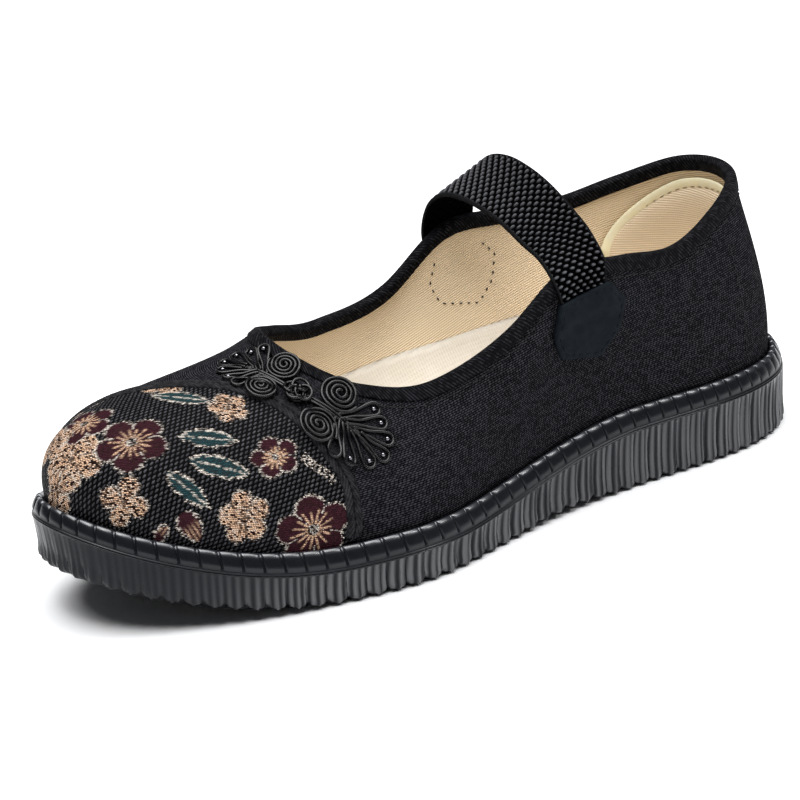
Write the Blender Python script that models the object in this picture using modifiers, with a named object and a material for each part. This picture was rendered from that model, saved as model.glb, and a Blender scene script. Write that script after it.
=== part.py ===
"""A left cloth shoe with an instep strap, a brocade toe and a corded frog, built from the sizes of its last.

The shoe points its toe to -Y and its outer side to +X, and it stands on z = 0.
Sizes are in millimetres and are turned into metres where a mesh is made. A station is the distance
along the shoe from the back of the heel. A girth is the place along the sole's edge: 0 at the back
of the heel, 0.5 at the toe and 1 at the heel again, by way of the outer side. A share is the place
up the upper's wall: 0 at the top of the welt band and 1 at the collar.
"""

import bmesh
import bpy
import numpy as np
from mathutils import Vector

MM = 0.001
GAP = 0.3
DIFFERENCE = 1e-4

# Sole plan at its widest, where the ribs end under the welt band
LENGTH = 250.0
TOE_X = 2.5
OUTLINE_COLUMNS = ("station", "outer", "inner")
OUTLINE = (
    (3.5, 13.0, -12.0),
    (13.0, 24.5, -23.0),
    (35.0, 33.0, -31.0),
    (68.0, 34.0, -30.5),
    (100.0, 37.0, -29.0),
    (130.0, 44.0, -31.5),
    (155.0, 50.0, -36.5),
    (180.0, 47.5, -37.5),
    (203.0, 42.5, -34.5),
    (222.0, 35.0, -29.5),
    (237.0, 26.0, -22.5),
    (246.5, 15.0, -12.0),
)
OUTLINE_SAMPLES = 720

# Sole heights: the parting line is between the ribbed side and the welt band
PART_HEEL = 18.3
PART_BALL = 10.4
WEDGE_START, WEDGE_END = 70.0, 145.0
TOE_SPRING = 20.0
SPRING_START = 177.0
SPRING_POWER = 1.9
SPRING_UNDER = 0.86
ARCH_LIFT = 1.4
ARCH_START, ARCH_MIDDLE, ARCH_END = 76.0, 102.0, 128.0
BAND_HEIGHT = 6.4
WELL_DEPTH = 5.4
RIM = 4.0

# Sole side from the tread to the floor of the well: how far in, the shares of the ribs and beads,
# and the height as a share of the ribbed side plus a lift
RIBS = 104
RIB_DEPTH = 1.2
BEAD_RISE = 0.8
SIDE_COLUMNS = ("inset", "rib", "bead", "share", "lift")
SIDE = (
    (4.2, 1.0, 0.0, 0.00, 0.0),
    (1.9, 1.0, 0.0, 0.00, 1.8),
    (0.0, 1.0, 0.0, 0.85, 0.0),
    (0.3, 0.4, 0.0, 1.00, -0.7),
    (1.8, 0.0, 0.0, 1.00, -0.2),
    (1.4, 0.0, 0.6, 1.00, 0.8),
    (1.2, 0.0, 1.0, 1.00, 4.8),
    (2.5, 0.0, 0.2, 1.00, BAND_HEIGHT),
    (RIM, 0.0, 0.0, 1.00, BAND_HEIGHT - 0.6),
    (RIM, 0.0, 0.0, 1.00, BAND_HEIGHT - WELL_DEPTH),
)

# Upper: its wall, and its ribs from the welt band to the collar. The collar's edge is at centre plus
# or minus half, and tilt lifts it on the inner side and lowers it on the outer side.
# A rib leaves the band by flare and rise and comes to the collar by reach and drop.
WALL = 2.2
UPPER_COLUMNS = ("girth", "half", "centre", "station", "height", "tilt", "rise", "flare", "reach", "drop")
UPPER = (
    (0.000, 0.0, 0.0, 14.5, 80.0, 0.0, 20.0, 0.5, 3.0, 16.0),
    (0.040, 14.0, 0.0, 19.0, 78.6, 0.3, 20.0, 1.5, 3.0, 16.0),
    (0.085, 24.5, 0.0, 35.0, 73.5, 0.6, 20.0, 2.0, 3.0, 17.0),
    (0.130, 30.0, 0.3, 55.0, 69.0, 1.3, 20.0, 2.0, 3.0, 18.0),
    (0.170, 32.0, 0.8, 75.0, 70.8, 0.5, 20.0, 2.0, 3.0, 18.0),
    (0.205, 32.5, 1.2, 95.0, 71.0, 0.0, 20.0, 2.0, 3.0, 18.0),
    (0.240, 33.0, 1.6, 116.0, 58.0, -0.6, 16.0, 2.0, 4.0, 14.0),
    (0.290, 31.3, 1.8, 141.0, 51.5, 1.6, 12.5, 2.0, 5.0, 11.0),
    (0.350, 24.0, 1.6, 160.0, 54.7, 2.8, 11.0, 2.0, 7.0, 7.0),
    (0.393, 18.6, 1.3, 167.5, 58.0, 2.2, 16.5, 2.4, 10.0, 6.5),
    (0.430, 11.5, 1.0, 172.0, 61.0, 1.6, 23.5, 3.1, 11.5, 10.0),
    (0.500, 0.0, 0.5, 175.0, 63.0, 0.0, 33.0, 3.5, 18.0, 13.5),
)
UPPER_GIRTH_STEPS = 72
UPPER_RISE_STEPS = 9
MIRRORED_ROWS = 3
NEAR_COLLAR = 0.9
RIB_SAMPLES = 60
MOST_TURN, MOST_CLIMB = 0.02, 0.2

# Insole: a soft cupped footbed
INSOLE_COLUMNS = ("station", "bed", "lip")
INSOLE = (
    (0.0, 9.5, 19.0),
    (70.0, 9.5, 19.0),
    (145.0, 9.5, 21.5),
    (185.0, 7.0, 12.0),
    (250.0, 4.5, 7.0),
)
INSOLE_CUP_WIDTH = 11.0
INSOLE_GAP = 0.6

# Binding: a tape folded over the collar
TAPE = 0.6
TAPE_GAP = 0.4
BINDING_DEPTH = 3.4

# Braid over the seam of the toe panel, from the outer side of the sole to the inner side
BRAID_WIDTH = 4.6
BRAID_HEIGHT = 0.9
BRAID_CROWN = 0.55
BRAID_STEPS = 44
BRAID_COLUMNS = ("girth", "share")
BRAID = (
    (0.342, 0.030),
    (0.342, 0.160),
    (0.351, 0.420),
    (0.378, 0.610),
    (0.418, 0.715),
    (0.470, 0.725),
    (0.500, 0.640),
    (0.520, 0.490),
    (0.537, 0.280),
    (0.545, 0.030),
)

# Strap: an elastic band whose ends lie outside the collar, under the patches
STRAP_FRONT, STRAP_BACK = 100.5, 82.5
STRAP_THICK = 1.5
STRAP_TUCK = 12.0
STRAP_TAPER = 2.5
STRAP_CLEAR = 2.2
STRAP_GIRTH, STRAP_SHARE = 0.19, 0.7
STRAP_GIRTHS = (0.14, 0.26)
STRAP_LINES = (0.0, 0.5, 1.0)
STRAP_COLUMNS = ("across", "front", "back")
STRAP = (
    (29.0, 74.0, 78.0),
    (19.5, 78.2, 84.6),
    (9.7, 82.4, 89.8),
    (-0.5, 84.8, 93.0),
    (-10.5, 85.6, 94.1),
    (-20.5, 84.0, 92.0),
    (-28.5, 78.6, 85.8),
)

# Patch: a rounded many-sided plate around the end of the strap
PATCH_THICK = 1.3
PATCH_STATION, PATCH_HEIGHT = 89.5, 55.0
PATCH_ROUND = 1.2
PATCH_COLUMNS = ("station", "height")
PATCH = (
    (99.8, 63.0),
    (82.3, 66.0),
    (75.6, 59.2),
    (78.4, 50.2),
    (85.5, 43.8),
    (100.3, 46.8),
    (103.0, 54.0),
)
PATCH_SAMPLES = 360
PATCH_SPOKES = 24
PATCH_RINGS = (0.42, 0.72, 1.0)

# Frog: two halves, each with two coiled discs and a fan of cord loops, around a knot on the vamp.
# Along runs from the knot to the half's own side, across runs towards the throat. The inner half is
# turned a little about the knot.
FROG_GIRTH, FROG_SHARE = 0.418, 0.792
FROG_AXIS = (0.72, -0.53, -0.46)
FROG_BEND = -5.0
FROG_ROOT = 13.0
COIL_ALONG, COIL_ACROSS = 9.6, 5.8
COIL_RADIUS = 5.0
LOOP_SPREAD, LOOP_BLUNT = 13.0, 0.4
FROG_WAIST = 3.0
LOOP_COLUMNS = ("angle", "length")
LOOPS = (
    (-70.0, 10.5),
    (-45.0, 12.6),
    (-20.0, 15.0),
    (-2.0, 16.4),
    (17.0, 15.8),
    (35.0, 13.8),
    (55.0, 12.8),
)
FROG_LIFT = 0.5
TRIM_EASE = 4.0
FROG_EDGE, FROG_BODY, FROG_COIL = 1.0, 1.8, 2.8
FROG_SPOKES = 48
FROG_RINGS = (0.4, 0.72, 1.0)
KNOT_RADIUS, KNOT_RISE = 4.2, 3.0
KNOT_SEGMENTS, KNOT_RINGS = 12, 8

# Heel pad: the padded grip inside the heel
PAD_COLUMNS_EACH_SIDE = 7
PAD_LOW, PAD_HIGH = 0.34, 0.86
PAD_END = 0.12
PAD_THICK = 2.6
PAD_EDGE = 1.2
PAD_ARCH, PAD_FLAT = 3, 4
PAD_ROWS = 5


def column(table, columns, name):
    """One named column of a table as an array."""
    return np.array([row[columns.index(name)] for row in table])


def rows_of(table, columns):
    """The table's rows with their columns' names."""
    return [dict(zip(columns, row)) for row in table]


def smooth(low, high, value):
    share = np.clip((value - low) / (high - low), 0.0, 1.0)
    return share * share * (3.0 - 2.0 * share)


def closed_spline(points, samples):
    """Points on a smooth closed curve through the given ones."""
    points = np.asarray(points, float)
    count = len(points)
    spans = np.linalg.norm(np.roll(points, -1, axis=0) - points, axis=1)
    before = np.roll(spans, 1)
    system = np.zeros((count, count))
    right = np.zeros_like(points)
    for i in range(count):
        last, after = (i - 1) % count, (i + 1) % count
        system[i, last] += spans[i]
        system[i, i] += 2.0 * (spans[i] + before[i])
        system[i, after] += before[i]
        right[i] = 3.0 * (
            spans[i] / before[i] * (points[i] - points[last])
            + before[i] / spans[i] * (points[after] - points[i])
        )
    slopes = np.linalg.solve(system, right)
    knots = np.concatenate([[0.0], np.cumsum(spans)])
    where = np.linspace(0.0, knots[-1], samples, endpoint=False)
    span = np.clip(np.searchsorted(knots, where, side="right") - 1, 0, count - 1)
    u = ((where - knots[span]) / spans[span])[:, None]
    h = spans[span][:, None]
    after = (span + 1) % count
    return hermite(u, h, points[span], points[after], slopes[span], slopes[after])


def hermite(u, h, start, end, lead, trail):
    return (
        (2 * u**3 - 3 * u**2 + 1) * start
        + (u**3 - 2 * u**2 + u) * h * lead
        + (3 * u**2 - 2 * u**3) * end
        + (u**3 - u**2) * h * trail
    )


def cubic(knots, values, where):
    """A smooth curve through values at uneven knots."""
    slopes = np.gradient(values, knots)
    span = np.clip(np.searchsorted(knots, where, side="right") - 1, 0, len(knots) - 2)
    h = knots[span + 1] - knots[span]
    u = (where - knots[span]) / h
    return hermite(u, h, values[span], values[span + 1], slopes[span], slopes[span + 1])


def sole_outline():
    """The sole's edge, x from the middle of its box: girths, (x, station) points and outward normals."""
    stations = column(OUTLINE, OUTLINE_COLUMNS, "station")
    outer = np.column_stack([column(OUTLINE, OUTLINE_COLUMNS, "outer"), stations])
    inner = np.column_stack([column(OUTLINE, OUTLINE_COLUMNS, "inner"), stations])
    knots = np.vstack([[(0.0, 0.0)], outer, [(TOE_X, LENGTH)], inner[::-1]])
    edge = closed_spline(knots, OUTLINE_SAMPLES)
    edge[:, 0] -= (edge[:, 0].max() + edge[:, 0].min()) / 2.0
    toe = int(edge[:, 1].argmax())
    loop = np.vstack([edge, edge[:1]])
    along = np.concatenate([[0.0], np.cumsum(np.linalg.norm(np.diff(loop, axis=0), axis=1))])
    girth = np.interp(along, [0.0, along[toe], along[-1]], [0.0, 0.5, 1.0])
    tangent = np.roll(edge, -1, axis=0) - np.roll(edge, 1, axis=0)
    normal = np.column_stack([tangent[:, 1], -tangent[:, 0]])
    normal /= np.linalg.norm(normal, axis=1)[:, None]
    return girth, loop, np.vstack([normal, normal[:1]])


EDGE_GIRTH, EDGE_POINTS, EDGE_NORMALS = sole_outline()
HEEL_X = EDGE_POINTS[0, 0]


def edge_at(girth, inset):
    """(x, station) at these girths, moved in from the sole's widest edge, and the outward normals."""
    girth = np.mod(girth, 1.0)
    point = np.column_stack([np.interp(girth, EDGE_GIRTH, EDGE_POINTS[:, k]) for k in (0, 1)])
    normal = np.column_stack([np.interp(girth, EDGE_GIRTH, EDGE_NORMALS[:, k]) for k in (0, 1)])
    normal /= np.linalg.norm(normal, axis=1)[:, None]
    return point - normal * np.reshape(inset, (-1, 1)), normal


def toe_rise(station):
    share = np.clip((station - SPRING_START) / (LENGTH - SPRING_START), 0.0, 1.0)
    return TOE_SPRING * share**SPRING_POWER


def part_height(station):
    wedge = PART_HEEL + (PART_BALL - PART_HEEL) * smooth(WEDGE_START, WEDGE_END, station)
    return wedge + toe_rise(station)


def under_height(station):
    arch = smooth(ARCH_START, ARCH_MIDDLE, station) - smooth(ARCH_MIDDLE, ARCH_END, station)
    return SPRING_UNDER * toe_rise(station) + ARCH_LIFT * arch


def floor_height(station):
    return part_height(station) + BAND_HEIGHT - WELL_DEPTH


def place(points):
    """Points in metres from rows of x, station and height in millimetres."""
    points = np.asarray(points, float)
    return np.column_stack([points[:, 0], LENGTH / 2.0 - points[:, 1], points[:, 2]]) * MM


def upper_columns(girth):
    """The upper's table read smoothly at these girths, the inner side mirrored from the outer."""
    girth = np.mod(girth, 1.0)
    folded = np.where(girth > 0.5, 1.0 - girth, girth)
    side = np.where(girth > 0.5, -1.0, 1.0)
    rows = column(UPPER, UPPER_COLUMNS, "girth")
    heel, toe = slice(MIRRORED_ROWS, 0, -1), slice(-2, -2 - MIRRORED_ROWS, -1)
    knots = np.concatenate([-rows[heel], rows, 1.0 - rows[toe]])
    found = {}
    for name in UPPER_COLUMNS[1:]:
        values = column(UPPER, UPPER_COLUMNS, name)
        sign = -1.0 if name in ("half", "tilt") else 1.0
        known = np.concatenate([sign * values[heel], values, sign * values[toe]])
        found[name] = cubic(knots, known, folded)
    found["half"] = found["half"] * side
    found["tilt"] = found["tilt"] * side
    return found


def upper_surface(girth, share):
    """Outer face of the upper as rows of x, station and height. Below share 0 it goes straight down."""
    girth, share = np.broadcast_arrays(np.ravel(girth), np.ravel(share))
    row = upper_columns(girth)
    foot, normal = edge_at(girth, RIM + GAP)
    out = np.column_stack([normal, np.zeros(len(normal))])
    up = np.array([0.0, 0.0, 1.0])
    p0 = np.column_stack([foot, part_height(foot[:, 1]) + BAND_HEIGHT])
    across = HEEL_X + row["centre"] + row["half"]
    p3 = np.column_stack([across, row["station"], row["height"] - row["tilt"]])
    p1 = p0 + out * row["flare"][:, None] + up * row["rise"][:, None]
    p2 = p3 + out * row["reach"][:, None] - up * row["drop"][:, None]
    v = np.clip(share, 0.0, None)[:, None]
    below = np.clip(share, None, 0.0)[:, None]
    rib = (1 - v) ** 3 * p0 + 3 * (1 - v) ** 2 * v * p1 + 3 * (1 - v) * v**2 * p2 + v**3 * p3
    return rib + up * below * WELL_DEPTH


def wall_frame(girth, share):
    """Points of the upper's outer face, its outward normals and its directions up the wall."""
    girth, share = np.asarray(girth, float), np.asarray(share, float)
    step = DIFFERENCE
    here = upper_surface(girth, share)
    around = upper_surface(girth + step, share) - upper_surface(girth - step, share)
    upward = upper_surface(girth, share + step) - upper_surface(girth, share - step)
    normal = np.cross(around, upward)
    normal /= np.linalg.norm(normal, axis=1)[:, None]
    return here, normal, upward / np.linalg.norm(upward, axis=1)[:, None]


def on_wall(girth, share, lift):
    """Points at a distance outside the upper's outer face."""
    here, normal, _ = wall_frame(girth, share)
    return here + normal * np.reshape(lift, (-1, 1))


def solve_wall(girth, share, error_of, rounds=12):
    """Moves girths and shares until error_of, two numbers a point, is nothing."""
    girth, share = np.array(girth, float), np.array(share, float)
    step = DIFFERENCE
    for _ in range(rounds):
        error = error_of(upper_surface(girth, share))
        by_girth = (error_of(upper_surface(girth + step, share)) - error) / step
        by_share = (error_of(upper_surface(girth, share + step)) - error) / step
        grid = np.stack([by_girth, by_share], axis=2)
        change = np.linalg.solve(grid, error[:, :, None])[:, :, 0]
        girth = girth - np.clip(change[:, 0], -MOST_TURN, MOST_TURN)
        share = share - np.clip(change[:, 1], -MOST_CLIMB, MOST_CLIMB)
    return girth, share


def wall_at(station, height, side):
    """Girths and shares, near the strap's end on one side, where the wall has these stations and heights."""
    girth = np.full(len(station), STRAP_GIRTH if side > 0 else 1.0 - STRAP_GIRTH)
    aim = np.column_stack([station, height])
    return solve_wall(girth, np.full(len(station), STRAP_SHARE), lambda p: p[:, 1:] - aim)


def wall_around(girth, share, axis, along, across):
    """Girths and shares of places measured in the plane that touches the wall at one point."""
    centre, normal, _ = wall_frame([girth], [share])
    first = np.array(axis) - normal[0] * np.dot(axis, normal[0])
    first /= np.linalg.norm(first)
    second = np.cross(first, normal[0])
    aim = np.column_stack([along, across])
    start = np.full(len(aim), girth), np.full(len(aim), share)
    frame = np.column_stack([first, second])
    return solve_wall(*start, lambda p: (p - centre) @ frame - aim)


def clear_scene():
    for obj in list(bpy.data.objects):
        bpy.data.objects.remove(obj)


def material(name, colour, roughness):
    made = bpy.data.materials.new(name)
    made.use_nodes = True
    shader = made.node_tree.nodes["Principled BSDF"]
    shader.inputs["Base Color"].default_value = (*colour, 1.0)
    shader.inputs["Roughness"].default_value = roughness
    shader.inputs["Metallic"].default_value = 0.0
    return made


def new_object(name, mesh, finish, home):
    obj = bpy.data.objects.new(name, mesh)
    mesh.materials.append(finish)
    mesh.shade_smooth()
    home.objects.link(obj)
    return obj


def finish_mesh(bm, open_shell=False):
    """A mesh from a bmesh, with its faces pointing out. An open shell's rings are skinned facing in."""
    if open_shell:
        bmesh.ops.reverse_faces(bm, faces=bm.faces)
    else:
        bmesh.ops.recalc_face_normals(bm, faces=bm.faces)
    mesh = bpy.data.meshes.new("form")
    bm.to_mesh(mesh)
    bm.free()
    return mesh


def skin(bm, rings, wrap=True):
    """Faces between rings of points in millimetres. It gives the rings' vertices back."""
    grid = [[bm.verts.new(point) for point in place(ring)] for ring in rings]
    count = len(grid[0])
    for low, high in zip(grid, grid[1:]):
        for i in range(count if wrap else count - 1):
            j = (i + 1) % count
            bm.faces.new((low[i], low[j], high[j], high[i]))
    return grid


def close_across(bm, ring):
    """Closes a ring with strips that join each point to the one over from it."""
    count = len(ring)
    for i in range(count // 2):
        corners = (ring[-i % count], ring[i], ring[i + 1], ring[-(i + 1) % count])
        unique = list(dict.fromkeys(corners))
        if len(unique) > 2:
            bm.faces.new(unique)


def lofted(rings, ends=True):
    """A closed body through rings: its ends are closed by strips, or the last ring joins the first."""
    bm = bmesh.new()
    grid = skin(bm, rings)
    if ends:
        close_across(bm, grid[0])
        close_across(bm, grid[-1])
    else:
        bridge(bm, grid[-1], grid[0])
    return finish_mesh(bm)


def bridge(bm, low, high):
    """Faces between two closed rings of vertices."""
    for i in range(len(low)):
        j = (i + 1) % len(low)
        bm.faces.new((low[i], low[j], high[j], high[i]))


def plated(under, over):
    """A closed plate between two grids of points, rows by columns."""
    bm = bmesh.new()
    low = skin(bm, under, wrap=False)
    high = skin(bm, over, wrap=False)

    def border(grid):
        right = [row[-1] for row in grid[1:]]
        left = [row[0] for row in grid[-2:0:-1]]
        return grid[0] + right + grid[-1][-2::-1] + left

    bridge(bm, border(low), border(high))
    return finish_mesh(bm)


def button(under, over):
    """A closed plate between two sets of rings, each set from its centre point out to its edge."""
    bm = bmesh.new()
    edges = []
    for centre, rings in (under, over):
        grid = skin(bm, rings)
        middle = bm.verts.new(place([centre])[0])
        count = len(grid[0])
        for i in range(count):
            bm.faces.new((middle, grid[0][i], grid[0][(i + 1) % count]))
        edges.append(grid[-1])
    bridge(bm, *edges)
    return finish_mesh(bm)


def outsole(finish, home):
    """The moulded sole: ribbed side, parting groove, beaded welt band and a well for the upper."""
    count = 2 * RIBS
    girth = np.arange(count) / count
    wave = np.where(np.arange(count) % 2 == 0, 1.0, -1.0)
    rings = []
    for row in rows_of(SIDE, SIDE_COLUMNS):
        groove = row["rib"] * RIB_DEPTH * (1.0 - wave) / 2.0
        bump = row["bead"] * BEAD_RISE * wave / 2.0
        edge, _ = edge_at(girth, row["inset"] + groove - bump)
        under = under_height(edge[:, 1])
        height = under + row["share"] * (part_height(edge[:, 1]) - under) + row["lift"]
        rings.append(np.column_stack([edge, height]))
    return new_object("outsole", lofted(rings), finish, home)


def wall_girths():
    return np.arange(UPPER_GIRTH_STEPS) / UPPER_GIRTH_STEPS


def upper(finish, home):
    """The lasted shell, from the floor of the well to the collar."""
    girth = wall_girths()
    foot = -1.0 + GAP / WELL_DEPTH
    shares = np.concatenate([[foot], np.linspace(0.0, 1.0, UPPER_RISE_STEPS + 1)])
    bm = bmesh.new()
    skin(bm, [upper_surface(girth, share) for share in shares])
    obj = new_object("upper", finish_mesh(bm, open_shell=True), finish, home)
    shell = obj.modifiers.new("wall", "SOLIDIFY")
    shell.thickness = WALL * MM
    shell.offset = -1.0
    shell.use_even_offset = True
    return obj


def insole_rise(name, station):
    """Height of the insole's bed or lip over the floor of the well."""
    stations, rises = (column(INSOLE, INSOLE_COLUMNS, key) for key in ("station", name))
    return cubic(stations, rises, station)


def insole(finish, home):
    """The footbed: flat underneath, cupped up the wall at its edge."""
    girth = wall_girths()
    edge_inset = RIM + GAP + WALL + INSOLE_GAP
    inner, _ = edge_at(girth, edge_inset + INSOLE_CUP_WIDTH)
    base, _ = edge_at(girth, edge_inset)
    lip_share = wall_shares_at(girth, floor_height(base[:, 1]) + insole_rise("lip", base[:, 1]))
    lip = on_wall(girth, lip_share, -(WALL + INSOLE_GAP))
    low = np.column_stack([base, floor_height(base[:, 1]) + GAP])
    bend = np.column_stack([base, part_height(base[:, 1]) + BAND_HEIGHT])
    bed = np.column_stack([inner, floor_height(inner[:, 1]) + insole_rise("bed", inner[:, 1])])
    return new_object("insole", lofted([low, bend, lip, bed]), finish, home)


def wall_shares_at(girth, height):
    """Shares where the ribs at these girths reach these heights."""
    shares = np.linspace(0.0, 1.0, RIB_SAMPLES)
    heights = np.column_stack([upper_surface(girth, share)[:, 2] for share in shares])
    return np.array([np.interp(h, row, shares) for h, row in zip(height, heights)])


def collar_binding(finish, home):
    """The tape: an outer and an inner flange joined over the collar's edge."""
    girth = wall_girths()
    top, normal, upward = wall_frame(girth, 1.0)
    flange = wall_frame(girth, 1.0 - BINDING_DEPTH / rib_lengths(girth))
    inside = -(WALL + TAPE_GAP)
    over = TAPE_GAP + TAPE
    section = (
        (flange, 0.0, over),
        ((top, normal, upward), over, over),
        ((top, normal, upward), over, inside - TAPE),
        (flange, 0.0, inside - TAPE),
        (flange, 0.0, inside),
        ((top, normal, upward), TAPE_GAP, inside),
        ((top, normal, upward), TAPE_GAP, TAPE_GAP),
        (flange, 0.0, TAPE_GAP),
    )
    rings = [here + up * above + out * lift for (here, out, up), above, lift in section]
    return new_object("collar_binding", lofted(rings, ends=False), finish, home)


def rib_lengths(girth):
    """Lengths of the wall's ribs near the collar, as millimetres for each whole share."""
    near = upper_surface(girth, 1.0) - upper_surface(girth, NEAR_COLLAR)
    return np.linalg.norm(near, axis=1) / (1.0 - NEAR_COLLAR)


def braid_path(steps):
    """Girths and shares along the middle of the braid."""
    along = np.linspace(0.0, 1.0, len(BRAID))
    where = np.linspace(0.0, 1.0, steps + 1)
    girth, share = (column(BRAID, BRAID_COLUMNS, name) for name in BRAID_COLUMNS)
    return cubic(along, girth, where), cubic(along, share, where)


def toe_seam_braid(finish, home):
    """A low half-round braid laid on the wall."""
    here, normal, _ = wall_frame(*braid_path(BRAID_STEPS))
    forward = np.gradient(here, axis=0)
    side = np.cross(normal, forward)
    side /= np.linalg.norm(side, axis=1)[:, None]
    half = BRAID_WIDTH / 2.0
    crown = BRAID_CROWN * half
    section = ((-half, 0.0), (-crown, BRAID_HEIGHT), (crown, BRAID_HEIGHT), (half, 0.0), (0.0, 0.0))
    rows = [here + side * across + normal * (GAP + lift) for across, lift in section]
    rings = list(np.stack(rows, axis=1))
    return new_object("toe_seam_braid", lofted(rings), finish, home)


def collar_height(station, side):
    """Heights of the collar at stations under the strap, on one side."""
    girth = np.linspace(*STRAP_GIRTHS, RIB_SAMPLES)
    edge = upper_surface(girth if side > 0 else 1.0 - girth, 1.0)
    return np.interp(station, edge[:, 1], edge[:, 2])


def strap_tuck(share, side):
    """One line of a tucked strap end, from its end up over the collar: the under side and the upper side."""
    below = STRAP_TUCK, STRAP_TUCK - STRAP_CLEAR, BINDING_DEPTH + STRAP_CLEAR
    depths = np.array([*below, 0.0, -STRAP_CLEAR])
    over = TAPE_GAP + TAPE + GAP
    lifts = np.array([GAP, GAP, over, over, over])
    stations = STRAP_FRONT + (STRAP_BACK - STRAP_FRONT) * share
    stations = stations + (2.0 * share - 1.0) * STRAP_TAPER * depths / STRAP_TUCK
    girth, height = wall_at(stations, collar_height(stations, side) - depths, side)
    return on_wall(girth, height, lifts), on_wall(girth, height, lifts + STRAP_THICK)


def strap_line(share):
    """One line along the whole strap, at its front edge for share 0 and its back edge for 1: both sides."""
    across = column(STRAP, STRAP_COLUMNS, "across") + HEEL_X
    front, back = (column(STRAP, STRAP_COLUMNS, name) for name in ("front", "back"))
    height = front + (back - front) * share
    slope = np.gradient(height, across)
    out = np.column_stack([-slope, np.zeros(len(slope)), np.ones(len(slope))])
    out /= np.linalg.norm(out, axis=1)[:, None]
    station = STRAP_FRONT + (STRAP_BACK - STRAP_FRONT) * share
    low = np.column_stack([across, np.full(len(across), station), height])
    outer, inner = strap_tuck(share, 1), strap_tuck(share, -1)
    under = np.vstack([outer[0], low, inner[0][::-1]])
    over = np.vstack([outer[1], low + out * STRAP_THICK, inner[1][::-1]])
    return under, over


def instep_strap(finish, home):
    """The elastic band, arched from one side of the collar to the other."""
    lines = [strap_line(share) for share in STRAP_LINES]
    under, over = (np.stack(sides, axis=1) for sides in zip(*lines))
    return new_object("instep_strap", plated(under, over), finish, home)


def patch_outline():
    """The patch's rounded outline as (forward, up) at even angles around its middle."""
    stations, heights = (column(PATCH, PATCH_COLUMNS, name) for name in PATCH_COLUMNS)
    corners = np.column_stack([stations - PATCH_STATION, heights - PATCH_HEIGHT])
    edge = closed_spline(rounded(corners, PATCH_ROUND), PATCH_SAMPLES)
    whole = 2.0 * np.pi
    angle = np.mod(np.arctan2(edge[:, 1], edge[:, 0]), whole)
    order = np.argsort(angle)
    spokes = whole * np.arange(PATCH_SPOKES) / PATCH_SPOKES
    reach = np.linalg.norm(edge, axis=1)
    radius = np.interp(spokes, angle[order], reach[order], period=whole)
    return np.column_stack([np.cos(spokes), np.sin(spokes)]) * radius[:, None]


def rounded(corners, cut):
    """Points of an outline whose corners are cut back by a length on both sides."""
    points = []
    for before, here, after in zip(np.roll(corners, 1, axis=0), corners, np.roll(corners, -1, axis=0)):
        for other in (before, after):
            toward = other - here
            points.append(here + toward * cut / np.linalg.norm(toward))
    return np.array(points)


def strap_patch(side, name, finish, home):
    """A plate over the tucked strap end, with its edge brought down to the wall beside the strap."""
    outline = patch_outline()
    over_strap = TAPE_GAP + TAPE + STRAP_THICK + 3.0 * GAP

    def ring(share):
        stations = PATCH_STATION + outline[:, 0] * share
        heights = PATCH_HEIGHT + outline[:, 1] * share
        depth = collar_height(stations, side) - heights
        girth, height = wall_at(stations, heights, side)
        before, behind = stations > STRAP_FRONT + GAP, stations < STRAP_BACK - GAP
        beside = before | behind | (depth > STRAP_TUCK + GAP)
        lift = np.where((share == 1.0) & beside, GAP, over_strap)
        return girth, height, lift

    under, over = [], []
    for share in PATCH_RINGS:
        girth, height, lift = ring(share)
        under.append(on_wall(girth, height, lift))
        over.append(on_wall(girth, height, lift + PATCH_THICK))
    girth, height, lift = (value[:1] for value in ring(0.0))
    middle = on_wall(girth, height, lift)[0], on_wall(girth, height, lift + PATCH_THICK)[0]
    return new_object(name, button((middle[0], under), (middle[1], over)), finish, home)


def frog_outline():
    """Angles and reaches of a frog half's edge around the root of its loops."""
    angle = 2.0 * np.pi * np.arange(FROG_SPOKES) / FROG_SPOKES - np.pi
    reach = np.zeros(FROG_SPOKES)
    for sign in (-1.0, 1.0):
        centre = np.array([COIL_ALONG - FROG_ROOT, sign * COIL_ACROSS])
        along = np.cos(angle) * centre[0] + np.sin(angle) * centre[1]
        inside = COIL_RADIUS**2 - centre @ centre + along**2
        crossing = along + np.sqrt(np.maximum(inside, 0.0))
        reach = np.maximum(reach, np.where(inside > 0.0, crossing, 0.0))
    for loop in rows_of(LOOPS, LOOP_COLUMNS):
        off = (np.degrees(angle) - loop["angle"]) / LOOP_SPREAD
        reach = np.maximum(reach, loop["length"] * np.clip(1.0 - off**2, 0.0, 1.0) ** LOOP_BLUNT)
    return angle, np.maximum(reach, FROG_WAIST)


def trim_rise(girth, share):
    """How far the braid and the binding stand up under these places, easing down beside them."""
    path = upper_surface(*braid_path(BRAID_STEPS))
    points = upper_surface(girth, share)
    apart = np.linalg.norm(points[:, None, :] - path[None, :, :], axis=2).min(axis=1)
    over_braid = 1.0 - smooth(TRIM_EASE / 2.0, TRIM_EASE, apart - BRAID_WIDTH / 2.0)
    depth = (1.0 - share) * rib_lengths(girth)
    over_tape = 1.0 - smooth(TRIM_EASE / 2.0, TRIM_EASE, depth - BINDING_DEPTH)
    return np.maximum(over_braid * (BRAID_HEIGHT + GAP), over_tape * (TAPE + TAPE_GAP))


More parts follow.
